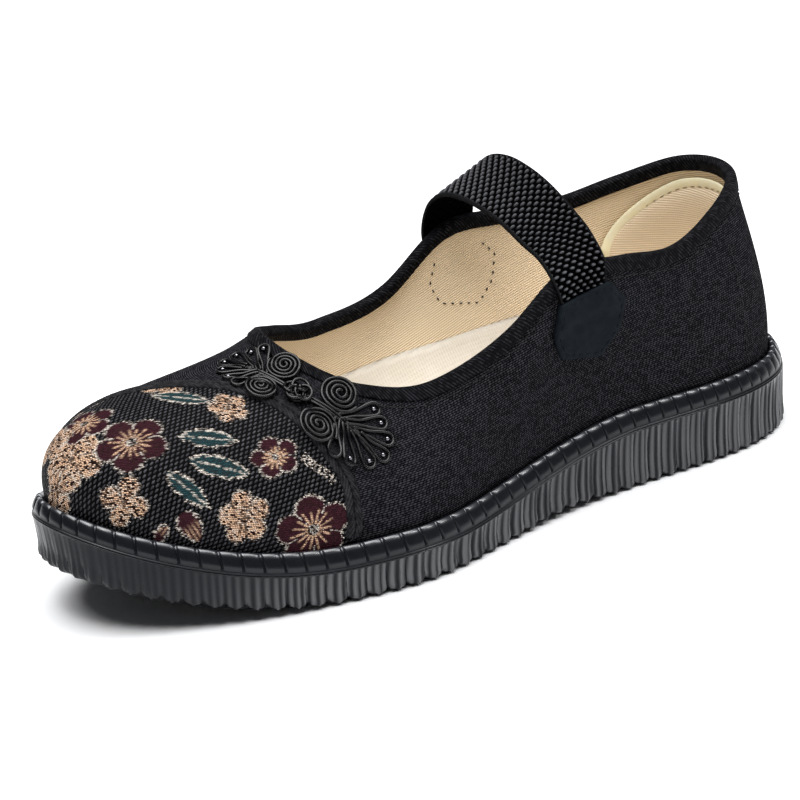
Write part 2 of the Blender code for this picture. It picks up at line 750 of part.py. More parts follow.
def frog_half(side, bend, name, finish, home):
    """Two coils and a fan of loops as one low relief on the vamp, lifted where it crosses the braid."""
    angle, reach = frog_outline()
    turn = side * np.exp(1j * np.radians(bend))

    def layer(share):
        along = FROG_ROOT + np.cos(angle) * reach * share
        across = np.sin(angle) * reach * share
        spot = (along + 1j * across) * turn
        girth, height = wall_around(FROG_GIRTH, FROG_SHARE, FROG_AXIS, spot.real, spot.imag)
        lift = FROG_LIFT + trim_rise(girth, height)
        coil = np.hypot(along - COIL_ALONG, np.abs(across) - COIL_ACROSS) / COIL_RADIUS
        rise = FROG_EDGE if share == 1.0 else FROG_BODY + (FROG_COIL - FROG_BODY) * (coil < 1.0)
        return on_wall(girth, height, lift), on_wall(girth, height, lift + rise)

    layers = [layer(share) for share in FROG_RINGS]
    middle = layer(0.0)
    under = middle[0][0], [low for low, _ in layers]
    over = middle[1][0], [high for _, high in layers]
    return new_object(name, button(under, over), finish, home)


def frog_knot(finish, home):
    """The button knot, a low ball on the wall between the two halves."""
    centre, normal, _ = wall_frame([FROG_GIRTH], [FROG_SHARE])
    foot = on_wall([FROG_GIRTH], [FROG_SHARE], FROG_LIFT + KNOT_RISE)
    lift = np.diff(place(np.vstack([centre, centre + normal])), axis=0)[0]
    bm = bmesh.new()
    bmesh.ops.create_uvsphere(bm, u_segments=KNOT_SEGMENTS, v_segments=KNOT_RINGS, radius=KNOT_RADIUS * MM)
    for vert in bm.verts:
        vert.co.z *= KNOT_RISE / KNOT_RADIUS
    turn = Vector((0.0, 0.0, 1.0)).rotation_difference(Vector(lift)).to_matrix()
    bmesh.ops.rotate(bm, verts=bm.verts, cent=(0.0, 0.0, 0.0), matrix=turn)
    bmesh.ops.translate(bm, verts=bm.verts, vec=Vector(place(foot)[0]))
    return new_object("frog_knot", finish_mesh(bm), finish, home)


def heel_pad(finish, home):
    """The padded grip: an arch-topped pad on the inside of the heel."""
    steps = np.arange(-PAD_COLUMNS_EACH_SIDE, PAD_COLUMNS_EACH_SIDE + 1)
    girth = steps / UPPER_GIRTH_STEPS
    fall = np.abs(steps) / PAD_COLUMNS_EACH_SIDE
    top = PAD_LOW + PAD_END + (PAD_HIGH - PAD_LOW - PAD_END) * np.sqrt(1.0 - fall**PAD_ARCH)
    under, over = [], []
    for row in np.linspace(0.0, 1.0, PAD_ROWS):
        share = PAD_LOW + (top - PAD_LOW) * row
        crown = (1.0 - fall**PAD_FLAT) * (1.0 - (2.0 * row - 1.0) ** PAD_FLAT)
        swell = PAD_EDGE + (PAD_THICK - PAD_EDGE) * crown
        under.append(on_wall(girth, share, np.full(len(girth), -(WALL + INSOLE_GAP))))
        over.append(on_wall(girth, share, -(WALL + INSOLE_GAP + swell)))
    return new_object("heel_pad", plated(under, over), finish, home)


def main():
    clear_scene()
    home = bpy.data.collections.new("cloth_shoe")
    bpy.context.scene.collection.children.link(home)
    rubber = material("black_rubber", (0.012, 0.013, 0.015), 0.42)
    cloth = material("black_cloth", (0.013, 0.013, 0.014), 0.92)
    tape = material("black_tape", (0.010, 0.010, 0.011), 0.80)
    elastic = material("black_elastic", (0.009, 0.009, 0.010), 0.70)
    leatherette = material("charcoal_leatherette", (0.014, 0.018, 0.022), 0.55)
    cord = material("black_cord", (0.006, 0.006, 0.007), 0.45)
    footbed = material("off_white_footbed", (0.74, 0.68, 0.58), 0.85)
    lining = material("tan_lining", (0.62, 0.46, 0.29), 0.9)
    outsole(rubber, home)
    insole(footbed, home)
    upper(cloth, home)
    collar_binding(tape, home)
    toe_seam_braid(tape, home)
    instep_strap(elastic, home)
    strap_patch(1, "strap_patch_outer", leatherette, home)
    strap_patch(-1, "strap_patch_inner", leatherette, home)
    frog_half(1, 0.0, "frog_outer", cord, home)
    frog_half(-1, FROG_BEND, "frog_inner", cord, home)
    frog_knot(cord, home)
    heel_pad(lining, home)


main()
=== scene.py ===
"""Looks of the left cloth shoe: rubber, cloth, brocade, tape, elastic, cord and lining over the solids.

Sizes are in millimetres and are turned into metres where a mesh is made. A station is the distance
along the shoe from the back of the heel. A girth is the place along the sole's edge: 0 at the back
of the heel, 0.5 at the toe and 1 at the heel again, by way of the outer side. A share is the place
up the upper's wall: 0 at the top of the welt band and 1 at the collar.
"""

import bmesh
import bpy
import numpy as np
from mathutils import Matrix, Vector


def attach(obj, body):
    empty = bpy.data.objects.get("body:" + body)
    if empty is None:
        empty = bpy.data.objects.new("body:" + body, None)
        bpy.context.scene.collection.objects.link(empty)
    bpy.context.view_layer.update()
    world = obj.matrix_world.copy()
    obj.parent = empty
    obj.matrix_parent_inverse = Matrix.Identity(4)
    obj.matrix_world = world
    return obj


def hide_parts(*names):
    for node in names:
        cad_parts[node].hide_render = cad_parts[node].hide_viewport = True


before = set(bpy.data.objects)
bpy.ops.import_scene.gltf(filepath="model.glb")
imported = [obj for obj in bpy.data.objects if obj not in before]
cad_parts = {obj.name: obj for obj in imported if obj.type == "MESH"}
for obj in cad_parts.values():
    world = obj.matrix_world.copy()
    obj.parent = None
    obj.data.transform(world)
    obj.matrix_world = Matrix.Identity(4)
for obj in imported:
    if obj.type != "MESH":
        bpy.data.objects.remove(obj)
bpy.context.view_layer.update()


class Table:
    """Rows of values under named columns."""

    def __init__(self, columns, *rows):
        self.columns, self.rows = columns.split(), rows

    def __getitem__(self, name):
        """One column as an array."""
        return np.array([row[self.columns.index(name)] for row in self.rows])

    def each(self):
        """The rows with their columns' names."""
        return [dict(zip(self.columns, row)) for row in self.rows]


MM = 0.001
GAP = 0.3
DIFFERENCE = 1e-4
MERGE = 1e-6
TINY = 1e-12

# Sole plan and heights, as the solids have them
LENGTH = 250.0
TOE_X = 2.5
OUTLINE = Table(
    "station outer inner",
    (3.5, 13.0, -12.0),
    (13.0, 24.5, -23.0),
    (35.0, 33.0, -31.0),
    (68.0, 34.0, -30.5),
    (100.0, 37.0, -29.0),
    (130.0, 44.0, -31.5),
    (155.0, 50.0, -36.5),
    (180.0, 47.5, -37.5),
    (203.0, 42.5, -34.5),
    (222.0, 35.0, -29.5),
    (237.0, 26.0, -22.5),
    (246.5, 15.0, -12.0),
)
OUTLINE_SAMPLES = 720
PART_HEEL, PART_BALL = 18.3, 10.4
WEDGE_START, WEDGE_END = 70.0, 145.0
TOE_SPRING, SPRING_START, SPRING_POWER, SPRING_UNDER = 20.0, 177.0, 1.9, 0.86
ARCH_LIFT = 1.4
ARCH_START, ARCH_MIDDLE, ARCH_END = 76.0, 102.0, 128.0
BAND_HEIGHT, WELL_DEPTH, RIM = 6.4, 5.4, 4.0
RIBS, RIB_DEPTH, BEAD_RISE = 106, 1.0, 0.85
RIB_DENSITY = Table(
    "girth ribs",
    (0.0, 119.0),
    (0.1, 118.0),
    (0.2, 104.0),
    (0.3, 96.0),
    (0.4, 101.0),
    (0.5, 107.0),
)

# Sole side from the tread to the floor of the well
SIDE = Table(
    "inset rib bead share lift",
    (3.4, 0.00, 0.0, 0.00, 0.0),
    (2.2, 0.80, 0.0, 0.00, 0.05),
    (1.3, 1.00, 0.0, 0.00, 0.3),
    (0.75, 1.00, 0.0, 0.00, 0.9),
    (0.65, 1.00, 0.0, 0.06, 1.3),
    (0.8, 1.00, 0.0, 0.20, 1.1),
    (0.8, 1.00, 0.0, 0.36, 0.8),
    (0.65, 0.95, 0.0, 0.52, 0.5),
    (0.5, 0.85, 0.0, 0.68, 0.3),
    (0.3, 0.65, 0.0, 0.82, 0.1),
    (0.15, 0.40, 0.0, 0.92, 0.0),
    (0.05, 0.15, 0.0, 0.98, -0.4),
    (0.0, 0.00, 0.0, 1.00, -0.7),
    (0.02, 0.00, 0.0, 1.00, -0.5),
    (0.5, 0.00, 0.0, 1.00, -0.42),
    (0.55, 0.00, 0.0, 1.00, -0.25),
    (0.1, 0.00, 0.0, 1.00, -0.15),
    (0.12, 0.00, 0.0, 1.00, 0.1),
    (0.45, 0.00, 0.0, 1.00, 0.2),
    (0.5, 0.00, 0.0, 1.00, 0.5),
    (0.6, 0.00, 0.0, 1.00, 1.0),
    (0.65, 0.00, 0.7, 1.00, 1.3),
    (0.8, 0.00, 0.95, 1.00, 2.0),
    (1.05, 0.00, 1.0, 1.00, 2.7),
    (1.3, 0.00, 1.0, 1.00, 3.3),
    (1.55, 0.00, 1.0, 1.00, 3.9),
    (1.85, 0.00, 1.0, 1.00, 4.5),
    (2.2, 0.00, 1.0, 1.00, 5.1),
    (2.65, 0.00, 1.0, 1.00, 5.55),
    (3.1, 0.00, 0.9, 1.00, 5.75),
    (3.6, 0.00, 0.5, 1.00, 5.55),
    (4.0, 0.00, 0.1, 1.00, 4.9),
    (4.0, 0.00, 0.0, 1.00, 1.0),
)
RIB_PLACES = (0.08, 0.17, 0.25, 0.33, 0.4, 0.445, 0.475)
RIB_POWER, SCALLOP, FOLDS, FOLD_DEPTH = 1.6, 1.1, 3, 0.4
FOLD_UNEVEN, FOLD_CHANGE = 0.3, 5.1
BLOCK_LEAN = 0.16
TOE_FADE_START, TOE_FADE_END, TOE_FADE, TOE_FADE_RISE = 185.0, 236.0, 0.8, 2.5
BLOCK_SAG, BLOCK_SAG_POWER, BLOCK_DIP = 0.35, 2.2, 0.45
BLOCK_END = (0.405, 0.47)
DIVIDER, DIVIDER_START, DIVIDER_TOP = 0.35, (0.475, 0.5), (3.0, 4.6)
TREAD_PITCH, TREAD_WAVE, TREAD_WAVE_LENGTH = 8.0, 1.6, 16.0
TREAD_DEPTH, TREAD_CUT, TREAD_BORDER = 1.1, (0.62, 0.74), (6.0, 7.0)
TREAD_COLUMNS = 36
WELL_COLUMNS = 6
# The rubber's gloss, which it also paints into its colour: painted highlight along the ribs' folds and on
# the block tops, and painted shade at the toe
STREAK_FOLDS, STREAK_LEAN, STREAK_WANDER = 2.5, 0.06, ((29, 1.3), (11, 1.0))
STREAK_LOW, STREAK_PLAIN, STREAK_SPREAD = 0.35, 0.24, 0.85
TOE_PLAIN, TOE_DULLING_AND_SHADE = 0.75, 0.5
BLOCK_GLOSS_AND_HIGHLIGHT = (4.3, 5.4)

# Upper: as in the solids, a rib leaves the band by flare and rise and comes to the collar by reach and drop
WALL = 2.2
UPPER = Table(
    "girth half centre station height tilt rise flare reach drop",
    (0.000, 0.0, 0.0, 14.5, 80.0, 0.0, 20.0, 0.5, 3.0, 16.0),
    (0.040, 14.0, 0.0, 19.0, 78.6, 0.3, 20.0, 1.5, 3.0, 16.0),
    (0.085, 24.5, 0.0, 35.0, 73.5, 0.6, 20.0, 2.0, 3.0, 17.0),
    (0.130, 30.0, 0.3, 55.0, 69.0, 1.3, 20.0, 2.0, 3.0, 18.0),
    (0.170, 32.0, 0.8, 75.0, 70.8, 0.5, 20.0, 2.0, 3.0, 18.0),
    (0.205, 32.5, 1.2, 95.0, 71.0, 0.0, 20.0, 2.0, 3.0, 18.0),
    (0.240, 33.0, 1.6, 116.0, 58.0, -0.6, 16.0, 2.0, 4.0, 14.0),
    (0.290, 31.3, 1.8, 141.0, 51.5, 1.6, 12.5, 2.0, 5.0, 11.0),
    (0.350, 24.0, 1.6, 160.0, 54.7, 2.8, 11.0, 2.0, 7.0, 7.0),
    (0.393, 18.6, 1.3, 167.5, 58.0, 2.2, 16.5, 2.4, 10.0, 6.5),
    (0.430, 11.5, 1.0, 172.0, 61.0, 1.6, 23.5, 3.1, 11.5, 10.0),
    (0.500, 0.0, 0.5, 175.0, 63.0, 0.0, 33.0, 3.5, 18.0, 13.5),
)
MIRRORED_ROWS = 3
MIRRORED_SIGNS = ("half", "tilt")
NEAR_COLLAR = 0.9
RIB_SAMPLES = 60
MOST_TURN, MOST_CLIMB = 0.02, 0.2
CLOTH_THICK = 1.1
LINING_START = 1.2
WALL_COLUMNS, WALL_ROWS = 540, 56
LINING_COLUMNS, LINING_ROWS = 360, 40
WALL_FOOT = -0.9

# Creases of the cloth, each a soft trough or ridge across the wall
CREASES = Table(
    "girth share turn length width depth",
    (0.322, 0.55, 62.0, 26.0, 3.2, -0.35),
    (0.334, 0.50, 70.0, 30.0, 3.0, 0.30),
    (0.300, 0.60, 48.0, 22.0, 3.4, -0.30),
    (0.272, 0.62, 35.0, 24.0, 4.0, 0.25),
    (0.255, 0.70, 30.0, 20.0, 3.5, -0.30),
    (0.215, 0.45, 80.0, 20.0, 5.0, -0.35),
    (0.140, 0.55, 75.0, 30.0, 6.0, -0.40),
    (0.100, 0.50, 95.0, 28.0, 5.0, 0.30),
    (0.045, 0.45, 85.0, 30.0, 5.0, -0.30),
    (0.680, 0.55, 118.0, 26.0, 3.2, -0.35),
    (0.705, 0.60, 130.0, 24.0, 3.4, 0.30),
    (0.735, 0.65, 145.0, 22.0, 3.5, -0.30),
    (0.850, 0.55, 100.0, 30.0, 6.0, -0.40),
    (0.905, 0.50, 85.0, 28.0, 5.0, 0.30),
)
CREASE_FOOT, CREASE_TOP = (0.0, 0.15), (0.8, 0.92)

# Insole, binding, braid, strap and patch, as the solids have them, and their finer detail
INSOLE = Table(
    "station bed lip",
    (0.0, 9.5, 19.0),
    (70.0, 9.5, 19.0),
    (145.0, 9.5, 21.5),
    (185.0, 7.0, 12.0),
    (250.0, 4.5, 7.0),
)
INSOLE_CUP_WIDTH, INSOLE_GAP = 11.0, 0.2
INSOLE_GIRTHS, INSOLE_SLOPE_ROWS, INSOLE_COLUMNS_ACROSS = 360, 10, 40
TAPE, TAPE_GAP, BINDING_DEPTH = 0.5, 0.2, 3.4
BINDING_FLANGE = ((1.0, 0.1), (1.0, 0.65), (0.9, 0.85), (0.7, 0.95), (0.35, 1.0))
BINDING_TURN_STEPS, BINDING_CROWN, BINDING_INNER = 13, 0.62, 0.1
BRAID_WIDTH, BRAID_HEIGHT, BRAID_STEPS = 4.4, 0.8, 44
BRAID_FINE_STEPS, BRAID_ACROSS = 520, 17
BRAID_PITCH, BRAID_SLANT, BRAID_RELIEF = 1.9, 2.4, 0.5
BRAID_MIDDLE, BRAID_CROWN, BRAID_FULL, BRAID_LEVEL, BRAID_FOOT = (0.02, 0.16), 2.6, 0.8, 0.6, 0.1
BRAID = Table(
    "girth share",
    (0.342, 0.030),
    (0.342, 0.160),
    (0.351, 0.400),
    (0.378, 0.582),
    (0.418, 0.700),
    (0.470, 0.735),
    (0.500, 0.665),
    (0.520, 0.515),
    (0.537, 0.295),
    (0.545, 0.030),
)
STRAP_FRONT, STRAP_BACK = 100.5, 82.5
STRAP_THICK, STRAP_TUCK, STRAP_TAPER, STRAP_CLEAR = 1.1, 12.0, 2.5, 2.2
STRAP_GIRTH, STRAP_SHARE, STRAP_GIRTHS = 0.19, 0.7, (0.14, 0.26)
STRAP = Table(
    "across front back",
    (29.0, 74.0, 78.0),
    (19.5, 78.2, 84.6),
    (9.7, 82.4, 89.8),
    (-0.5, 84.8, 93.0),
    (-10.5, 85.6, 94.1),
    (-20.5, 84.0, 92.0),
    (-28.5, 78.6, 85.8),
)
STRAP_LINES, STRAP_STEPS = 91, 500
GRAIN_ALONG, GRAIN_ACROSS, GRAIN_SLOPE, GRAIN_RELIEF = 3.02, 2.76, -0.12, 0.7
# The last of these is the span of grain height that the tint paints from shade between grains to highlight
# on their crowns
GRAIN_LONG, GRAIN_WIDE, GRAIN_DOME, GRAIN_LEVEL, GRAIN_PAINTED_LIGHT = 0.88, 0.46, 0.7, 0.6, (0.1, 0.9)
SELVAGE_RISE, SELVAGE_INNER, SELVAGE_TONE = 0.12, 0.6, 0.1
# The last of these darkens the tint of a sheet's under side, as painted shade
STRAP_EDGE, STRAP_OVER, STRAP_SAG, UNDER_SHADE = 0.6, 0.8, 1.1, 0.03
TUCK_DEPTHS = (STRAP_TUCK, STRAP_TUCK - STRAP_CLEAR, BINDING_DEPTH + STRAP_CLEAR, STRAP_OVER)
TUCK_THICK = (0.3, 0.35, 0.8, 1.0)
PATCH_STATION, PATCH_HEIGHT, PATCH_ROUND, PATCH_THICK = 89.5, 55.0, 1.2, 0.8
PATCH = Table(
    "station height",
    (99.8, 63.0),
    (82.3, 66.0),
    (75.6, 59.2),
    (78.4, 50.2),
    (85.5, 43.8),
    (100.3, 46.8),
    (103.0, 54.0),
)
PATCH_SAMPLES, PATCH_SPOKES, PATCH_RINGS = 360, 180, 22
PATCH_EASE, PATCH_STITCH, PATCH_SEWN, PATCH_TAPER = 4.5, 0.87, (62, 200), 0.3
PATCH_RIM, PATCH_RIM_SHARES, PATCH_UNDER = 0.45, (0.93, 1.01), 0.15
PATCH_GROOVE, PATCH_GROOVE_WIDE, PATCH_THREAD_DEPTH = 0.1, 0.025, 0.12

# Frog: along runs from the knot to the half's own side, across runs towards the throat
FROG_GIRTH, FROG_SHARE = 0.418, 0.792
FAR_BEND, FAR_SCALE = -8.0, 0.9
FROG_AXIS = (0.72, -0.53, -0.46)
COIL_ALONG, COIL_ACROSS, COIL_RADIUS, COIL_DOME = 9.6, 6.3, 5.9, 0.4
CORD, COIL_PITCH, COIL_START, COIL_LIFT, COIL_STEPS = 0.47, 1.3, 0.5, 0.2, 44
LOOPS = Table(
    "root along across bead",
    (12.5, 16.2, -8.9, 0),
    (14.5, 20.6, -7.6, 1),
    (17.0, 25.2, -4.4, 1),
    (19.0, 27.4, -0.5, 1),
    (17.0, 26.2, 4.0, 1),
    (14.5, 22.6, 6.7, 1),
    (12.5, 19.1, 8.8, 1),
)
LOOP_RADIUS, LOOP_NECK, LOOP_START, LOOP_WAIST = 1.75, 0.65, 0.4, 0.35
LOOP_STEPS, LOOP_BEND_STEPS, LOOP_STACK = 26, 21, (0.15, 0.6)
LINK, LINK_STEPS = (1.5, 19.0), 24
BEAD, BEAD_LIFT = 0.65, 0.8
FROG_LIFT, TRIM_EASE = 0.1, 3.0
KNOT_RADIUS, KNOT_RISE, KNOT_TURNS, KNOT_LOBES, KNOT_STEPS = 4.6, 1.9, 3, 4, 420
KNOT_MIDDLE, KNOT_SWING, KNOT_ROOM = 0.56, 0.42, 0.3
KNOT_WEAVE, KNOT_SHIFT = 0.42, 0.4
KNOT_CORE, KNOT_CORE_INSET, KNOT_CORE_LIFT = 0.3, 1.2, 0.4

# Stitches: a thread is a stitch's length, the gap after it and its radius. Then the sides of round things
STITCH_STEPS, STITCH_RISE, STITCH_ROUND = 7, 2.2, 0.6
PATCH_THREAD, PAD_THREAD = (1.9, 0.9, 0.13), (1.9, 0.8, 0.2)
QUARTER_THREAD, LINING_THREAD = (2.0, 0.9, 0.17), (0.7, 2.1, 0.22)
COLLAR_SEAM, COLLAR_SEAM_GAP = 1.6, (0.375, 0.60)
HEEL_SEAM, HEEL_SEAM_SHARES = 0.076, (0.05, 0.8)
SEAM_SAMPLES, HEEL_SEAM_SAMPLES = 721, 60
COLLAR_SEAM_LIFT, SEAM_LIFT = 0.04, 0.05
BALL_SIDES, BALL_ROWS, ODD_WAY = 14, 9, (0.3, 0.5, 0.8)
CORD_SIDES, STITCH_SIDES, PIPING_SIDES = 10, 6, 16

# Heel pad and its piping
PAD_REACH = 7.0 / 72.0
PAD_LOW, PAD_HIGH, PAD_END = 0.34, 0.86, 0.12
PAD_THICK, PAD_EDGE, PAD_ARCH, PAD_FLAT = 3.2, 1.0, 3, 4
PAD_COLUMNS, PAD_ROWS, PAD_BACK = 96, 28, 0.05
PAD_SEAM, PAD_SEAM_DEPTH, PAD_SEAM_WIDE, PAD_SEAM_LIFT, PAD_SEAM_ENDS = 0.955, 0.5, 0.03, 0.1, 3
PIPING, PIPING_FLAT, PIPING_DEPTH = 1.7, 0.32, 1.0

# Brocade toe panel: its flat plane touches the wall at one point, along runs to the throat and
# across to the inner side
PANEL_GIRTH, PANEL_SHARE = 0.44, 0.42
PANEL_COLUMNS, PANEL_ROWS = 400, 232
PANEL_LOW, PANEL_HIGH, PANEL_FOOT = 0.03, 0.26, -0.5
GROUND_WEAVE, FIGURE_WEAVE, QUARTER_WEAVE = (1.55, 1.2), (0.62, 0.5), (1.15, 0.66)
GROUND_LONG, GROUND_WIDE, THREAD_ENDS, THREAD_SIDES = 0.5, 0.36, 2.4, 4.0
BLACK = (0.006, 0.006, 0.007)
PEACH = (0.82, 0.53, 0.35)
MAROON = (0.052, 0.014, 0.023)
TEAL = (0.022, 0.072, 0.082)
CREAM = (0.95, 0.86, 0.76)
PETAL, PETAL_GAP = 0.42, 0.42
OPEN_WEAVE = 0.5
STREAKS, STREAK_WIDE, SQUASH, FLOWER_EYE = 3, 0.4, 0.82, 0.16
JAG, OUTLINE_WIDE, EDGE_SOFT = 0.3, 0.48, 0.3
JAG_GRAIN, GOLD_GRAIN, TONE_GRAIN, DARK_GRAIN = 0.6, 0.42, 0.8, 0.55
LEAF_WIDE, LEAF_POINT, VEIN_TURN, VEIN_SLANT, MIDRIB = 0.32, 2.3, 2.4, 1.3, 0.32
BUD_WIDE, BUD_FLARE, BUD_RAYS = 0.62, 0.18, 2.6
STEM_SWAY, STEM_WIDE = 0.8, 1.3
SCATTER = (127.1, 311.7, 74.7, 43758.5453)
LEAST_BEND = 1e-6
MOTIFS = Table(
    "kind along across turn size petals",
    ("peach", -33.0, 12.5, 20.0, 9.0, 5),
    ("peach", -41.0, 8.0, 80.0, 6.5, 4),
    ("maroon", -25.4, 22.8, 10.0, 9.0, 5),
    ("peach", -36.0, 24.0, 50.0, 7.0, 5),
    ("maroon", -17.0, 8.6, 28.0, 10.4, 5),
    ("peach", -25.5, -5.5, 45.0, 6.8, 4),
    ("leaf", 2.6, 2.0, -25.0, 8.2, 0),
    ("leaf", 2.0, -6.6, -34.0, 8.8, 0),
    ("leaf", -8.4, -9.3, -60.0, 7.8, 0),
    ("peach", 4.5, 31.0, 40.0, 8.5, 5),
    ("leaf", 3.0, 19.8, -44.0, 8.8, 0),
    ("peach", 12.8, 9.6, 15.0, 5.7, 5),
    ("maroon", 17.8, -9.2, 20.0, 7.2, 5),
    ("peach", 4.0, -21.8, 10.0, 7.2, 5),
    ("maroon", 22.0, -30.8, 15.0, 11.0, 5),
    ("bud", -11.0, -19.3, 105.0, 4.8, 0),
    ("bud", -19.4, -17.5, -150.0, 2.8, 0),
    ("stem", 28.4, -16.0, -63.0, 5.6, 0),
    ("leaf", -13.5, 39.0, 30.0, 8.2, 0),
    ("peach", -27.0, 39.0, 0.0, 6.8, 5),
    ("maroon", -6.0, 50.0, 35.0, 8.4, 5),
    ("leaf", 10.5, 39.5, -20.0, 8.0, 0),
    ("peach", 10.0, 52.0, 25.0, 6.4, 4),
)

# Finishes: each mixes a dark and a light tone, in thousandths, and has a relief of a depth. Its mottle is
# noise of a size and detail, the range of it that is read and, where not 0 to 1, what that turns into. On
# the rubber, the quarter twill, the brocade's ground, the tape, the braid and the elastic the mix between
# the tones is mainly painted highlight and painted shade
DULL, MATT, SILKY = ({"Specular IOR Level": level} for level in (0.005, 0.03, 0.06))
SATIN, WAXED = ({"Specular IOR Level": level} for level in (0.42, 0.1))
SHEEN, METAL = {"Sheen Weight": 0.1}, {"Metallic": 1.0}
SKIN = {
    "Specular IOR Level": 0.12,
    "Specular Tint": (0.88, 0.91, 1.0, 1.0),
    "Coat Roughness": 0.3,
    "Coat IOR": 1.8,
    "Coat Tint": (0.92, 0.95, 1.0, 1.0),
}
THOUSAND = 1000.0
THREAD_MOTTLE = (1.6, 3.0, 0.35, 0.65)
BEAD_MOTTLE = (4.0, 3.0, 0.35, 0.65)
PIPING_MOTTLE = (2.0, 3.0, 0.35, 0.65)
RUBBER_MOTTLE = (7.0, 3.0, 0.3, 0.7, 0.24, 0.38)
FOOTBED_MOTTLE = (6.0, 2.0, 0.35, 0.7)
FINISHES = Table(
    "name base dark light roughness sockets relief mottle",
    ("moulded_rubber", (5, 6, 7), (2, 2.5, 3.5), (16, 17, 21), 0.3, SKIN, 0.04, RUBBER_MOTTLE),
    ("quarter_twill", (12, 12, 13), (1.5, 1.5, 2.2), (42, 42, 48), 0.8, DULL, 0.16, ()),
    ("floral_brocade", (6, 6, 7), (1, 1, 1.2), (68, 68, 76), 0.6, MATT, 0.4, (1.4, 2.0, 0.35, 0.65, 0.45)),
    ("tan_lining", (950, 790, 570), (580, 420, 250), (950, 790, 570), 0.9, SHEEN, 0.14, ()),
    ("pad_cloth", (950, 800, 600), (660, 510, 340), (950, 800, 600), 0.9, SHEEN, 0.14, ()),
    ("footbed_cloth", (800, 730, 620), (700, 640, 540), (740, 680, 590), 0.9, SHEEN, 0.08, FOOTBED_MOTTLE),
    ("twill_tape", (12, 12, 13), (4, 4, 5), (26, 26, 30), 0.7, MATT, 0.2, (1.6, 2.0, 0.3, 0.7, 0.3)),
    ("seam_braid", (10, 10, 11), (0.6, 0.6, 1), (34, 34, 38), 0.5, SILKY, 0.08, (1.5, 2.0, 0.3, 0.7, 0.25)),
    ("elastic_webbing", (8, 8, 9), (0.6, 0.6, 0.7), (105, 107, 116), 0.5, DULL, 0.05, ()),
    ("charcoal_leatherette", (8, 10, 13), (6, 8, 11), (9, 12, 15), 0.6, MATT, 0.03, (3.0, 3.0, 0.3, 0.7)),
    ("satin_cord", (2, 2, 2.5), (1, 1, 1.5), (3, 3, 4), 0.24, SATIN, 0.02, (2.0, 2.0, 0.4, 0.7)),
    ("black_thread", (14, 14, 15), (14, 14, 15), (24, 24, 26), 0.6, WAXED, 0.05, THREAD_MOTTLE),
    ("dark_thread", (20, 17, 14), (20, 17, 14), (35, 30, 26), 0.7, {}, 0.05, THREAD_MOTTLE),
    ("brown_thread", (280, 200, 100), (280, 200, 100), (360, 270, 150), 0.7, {}, 0.05, THREAD_MOTTLE),
    ("glossy_bead", (220, 220, 240), (220, 220, 240), (270, 270, 290), 0.16, METAL, 0.005, BEAD_MOTTLE),
    ("yellow_piping", (980, 920, 640), (980, 920, 640), (990, 940, 700), 0.6, {}, 0.04, PIPING_MOTTLE),
    ("pale_floor", (900, 905, 915), (900, 905, 915), (920, 925, 930), 0.6, {}, 0.0, ()),
)
FIGURE_SHADE = (12, 5, 4)
LEAST_COAT, RUBBER_GRAIN = 0.04, 1.6
QUARTER_SLOPE, QUARTER_LEAST, QUARTER_TONES = 0.05, 0.55, (0.1, 0.95)
GROUND_SLANT, GROUND_TONES = 0.45, (0.05, 0.75)
FIGURE_SLOPE, FIGURE_LEAST, FIGURE_TONES = 0.4, 0.35, (0.02, 0.4)
LINING_SLOPE, PAD_SLOPE, LINING_TONES = 0.2, -0.1, (0.0, 0.6)
LINING_CROSS, LINING_CROSS_TONE, LINING_CROSS_RISE = 0.9, 0.1, 0.15
LINING_PITCH, FOOTBED_PITCH = 0.75, 0.9
TAPE_SLOPE, TAPE_PITCH, TAPE_TONES = -0.8, 1.05, (0.3, 1.0)
BRAID_FIBRE, ELASTIC_FIBRE, FIBRE_SLOPE, CORD_TWIST = 0.5, 0.32, 0.5, 0.42
LEATHER_GRAIN = (0.35, 3.0)
THREAD_GRAIN, BEAD_GRAIN, PIPING_GRAIN = 0.4, 1.0, 0.5

# Photo's camera: the angle to the shoe, the roll, the distance and the focal length in pixels
FRAME_PIXELS = 800
SENSOR = 36.0
CAMERA_AZIMUTH, CAMERA_ELEVATION, CAMERA_ROLL = np.radians(59.0), np.radians(20.0), -0.085
CAMERA_DISTANCE, CAMERA_FOCUS = 900.0, 3110.4
CAMERA_SLIDE = (-6.19, -7.63)
CAMERA_HEIGHT = 40.0

# Floor and light, with places in metres
FLOOR_SIZE, FLOOR_DROP, FLOOR_GRAIN = 8.0, 0.0002, 40.0
SKY_COLOUR, SKY_STRENGTH = (0.96, 0.98, 1.0, 1.0), 0.08
SUN_STRENGTH, SUN_ANGLE, SUN_AIM = 5.0, 64.0, (0.03, 0.03, -1.0)
LAMP_AIM = (0.0, 0.0, 0.03)
LAMPS = Table(
    "name place size power",
    ("toe_light", (0.5, -0.6, 1.7), 0.35, 5.0),
    ("heel_light", (0.75, 0.85, 1.3), 0.35, 7.0),
)


# Shape of the shoe, as the solids have it
def smooth(low, high, value):
    """A soft step from 0 at low to 1 at high."""
    share = np.clip((value - low) / (high - low), 0.0, 1.0)
    return share * share * (3.0 - 2.0 * share)


def unit(vectors):
    """The vectors at length 1."""
    return vectors / np.maximum(np.linalg.norm(vectors, axis=-1, keepdims=True), TINY)


def hermite(u, h, start, end, lead, trail):
    """A cubic between two values with given slopes, over a span h."""
    return (
        (2 * u**3 - 3 * u**2 + 1) * start
        + (u**3 - 2 * u**2 + u) * h * lead
        + (3 * u**2 - 2 * u**3) * end
        + (u**3 - u**2) * h * trail
    )


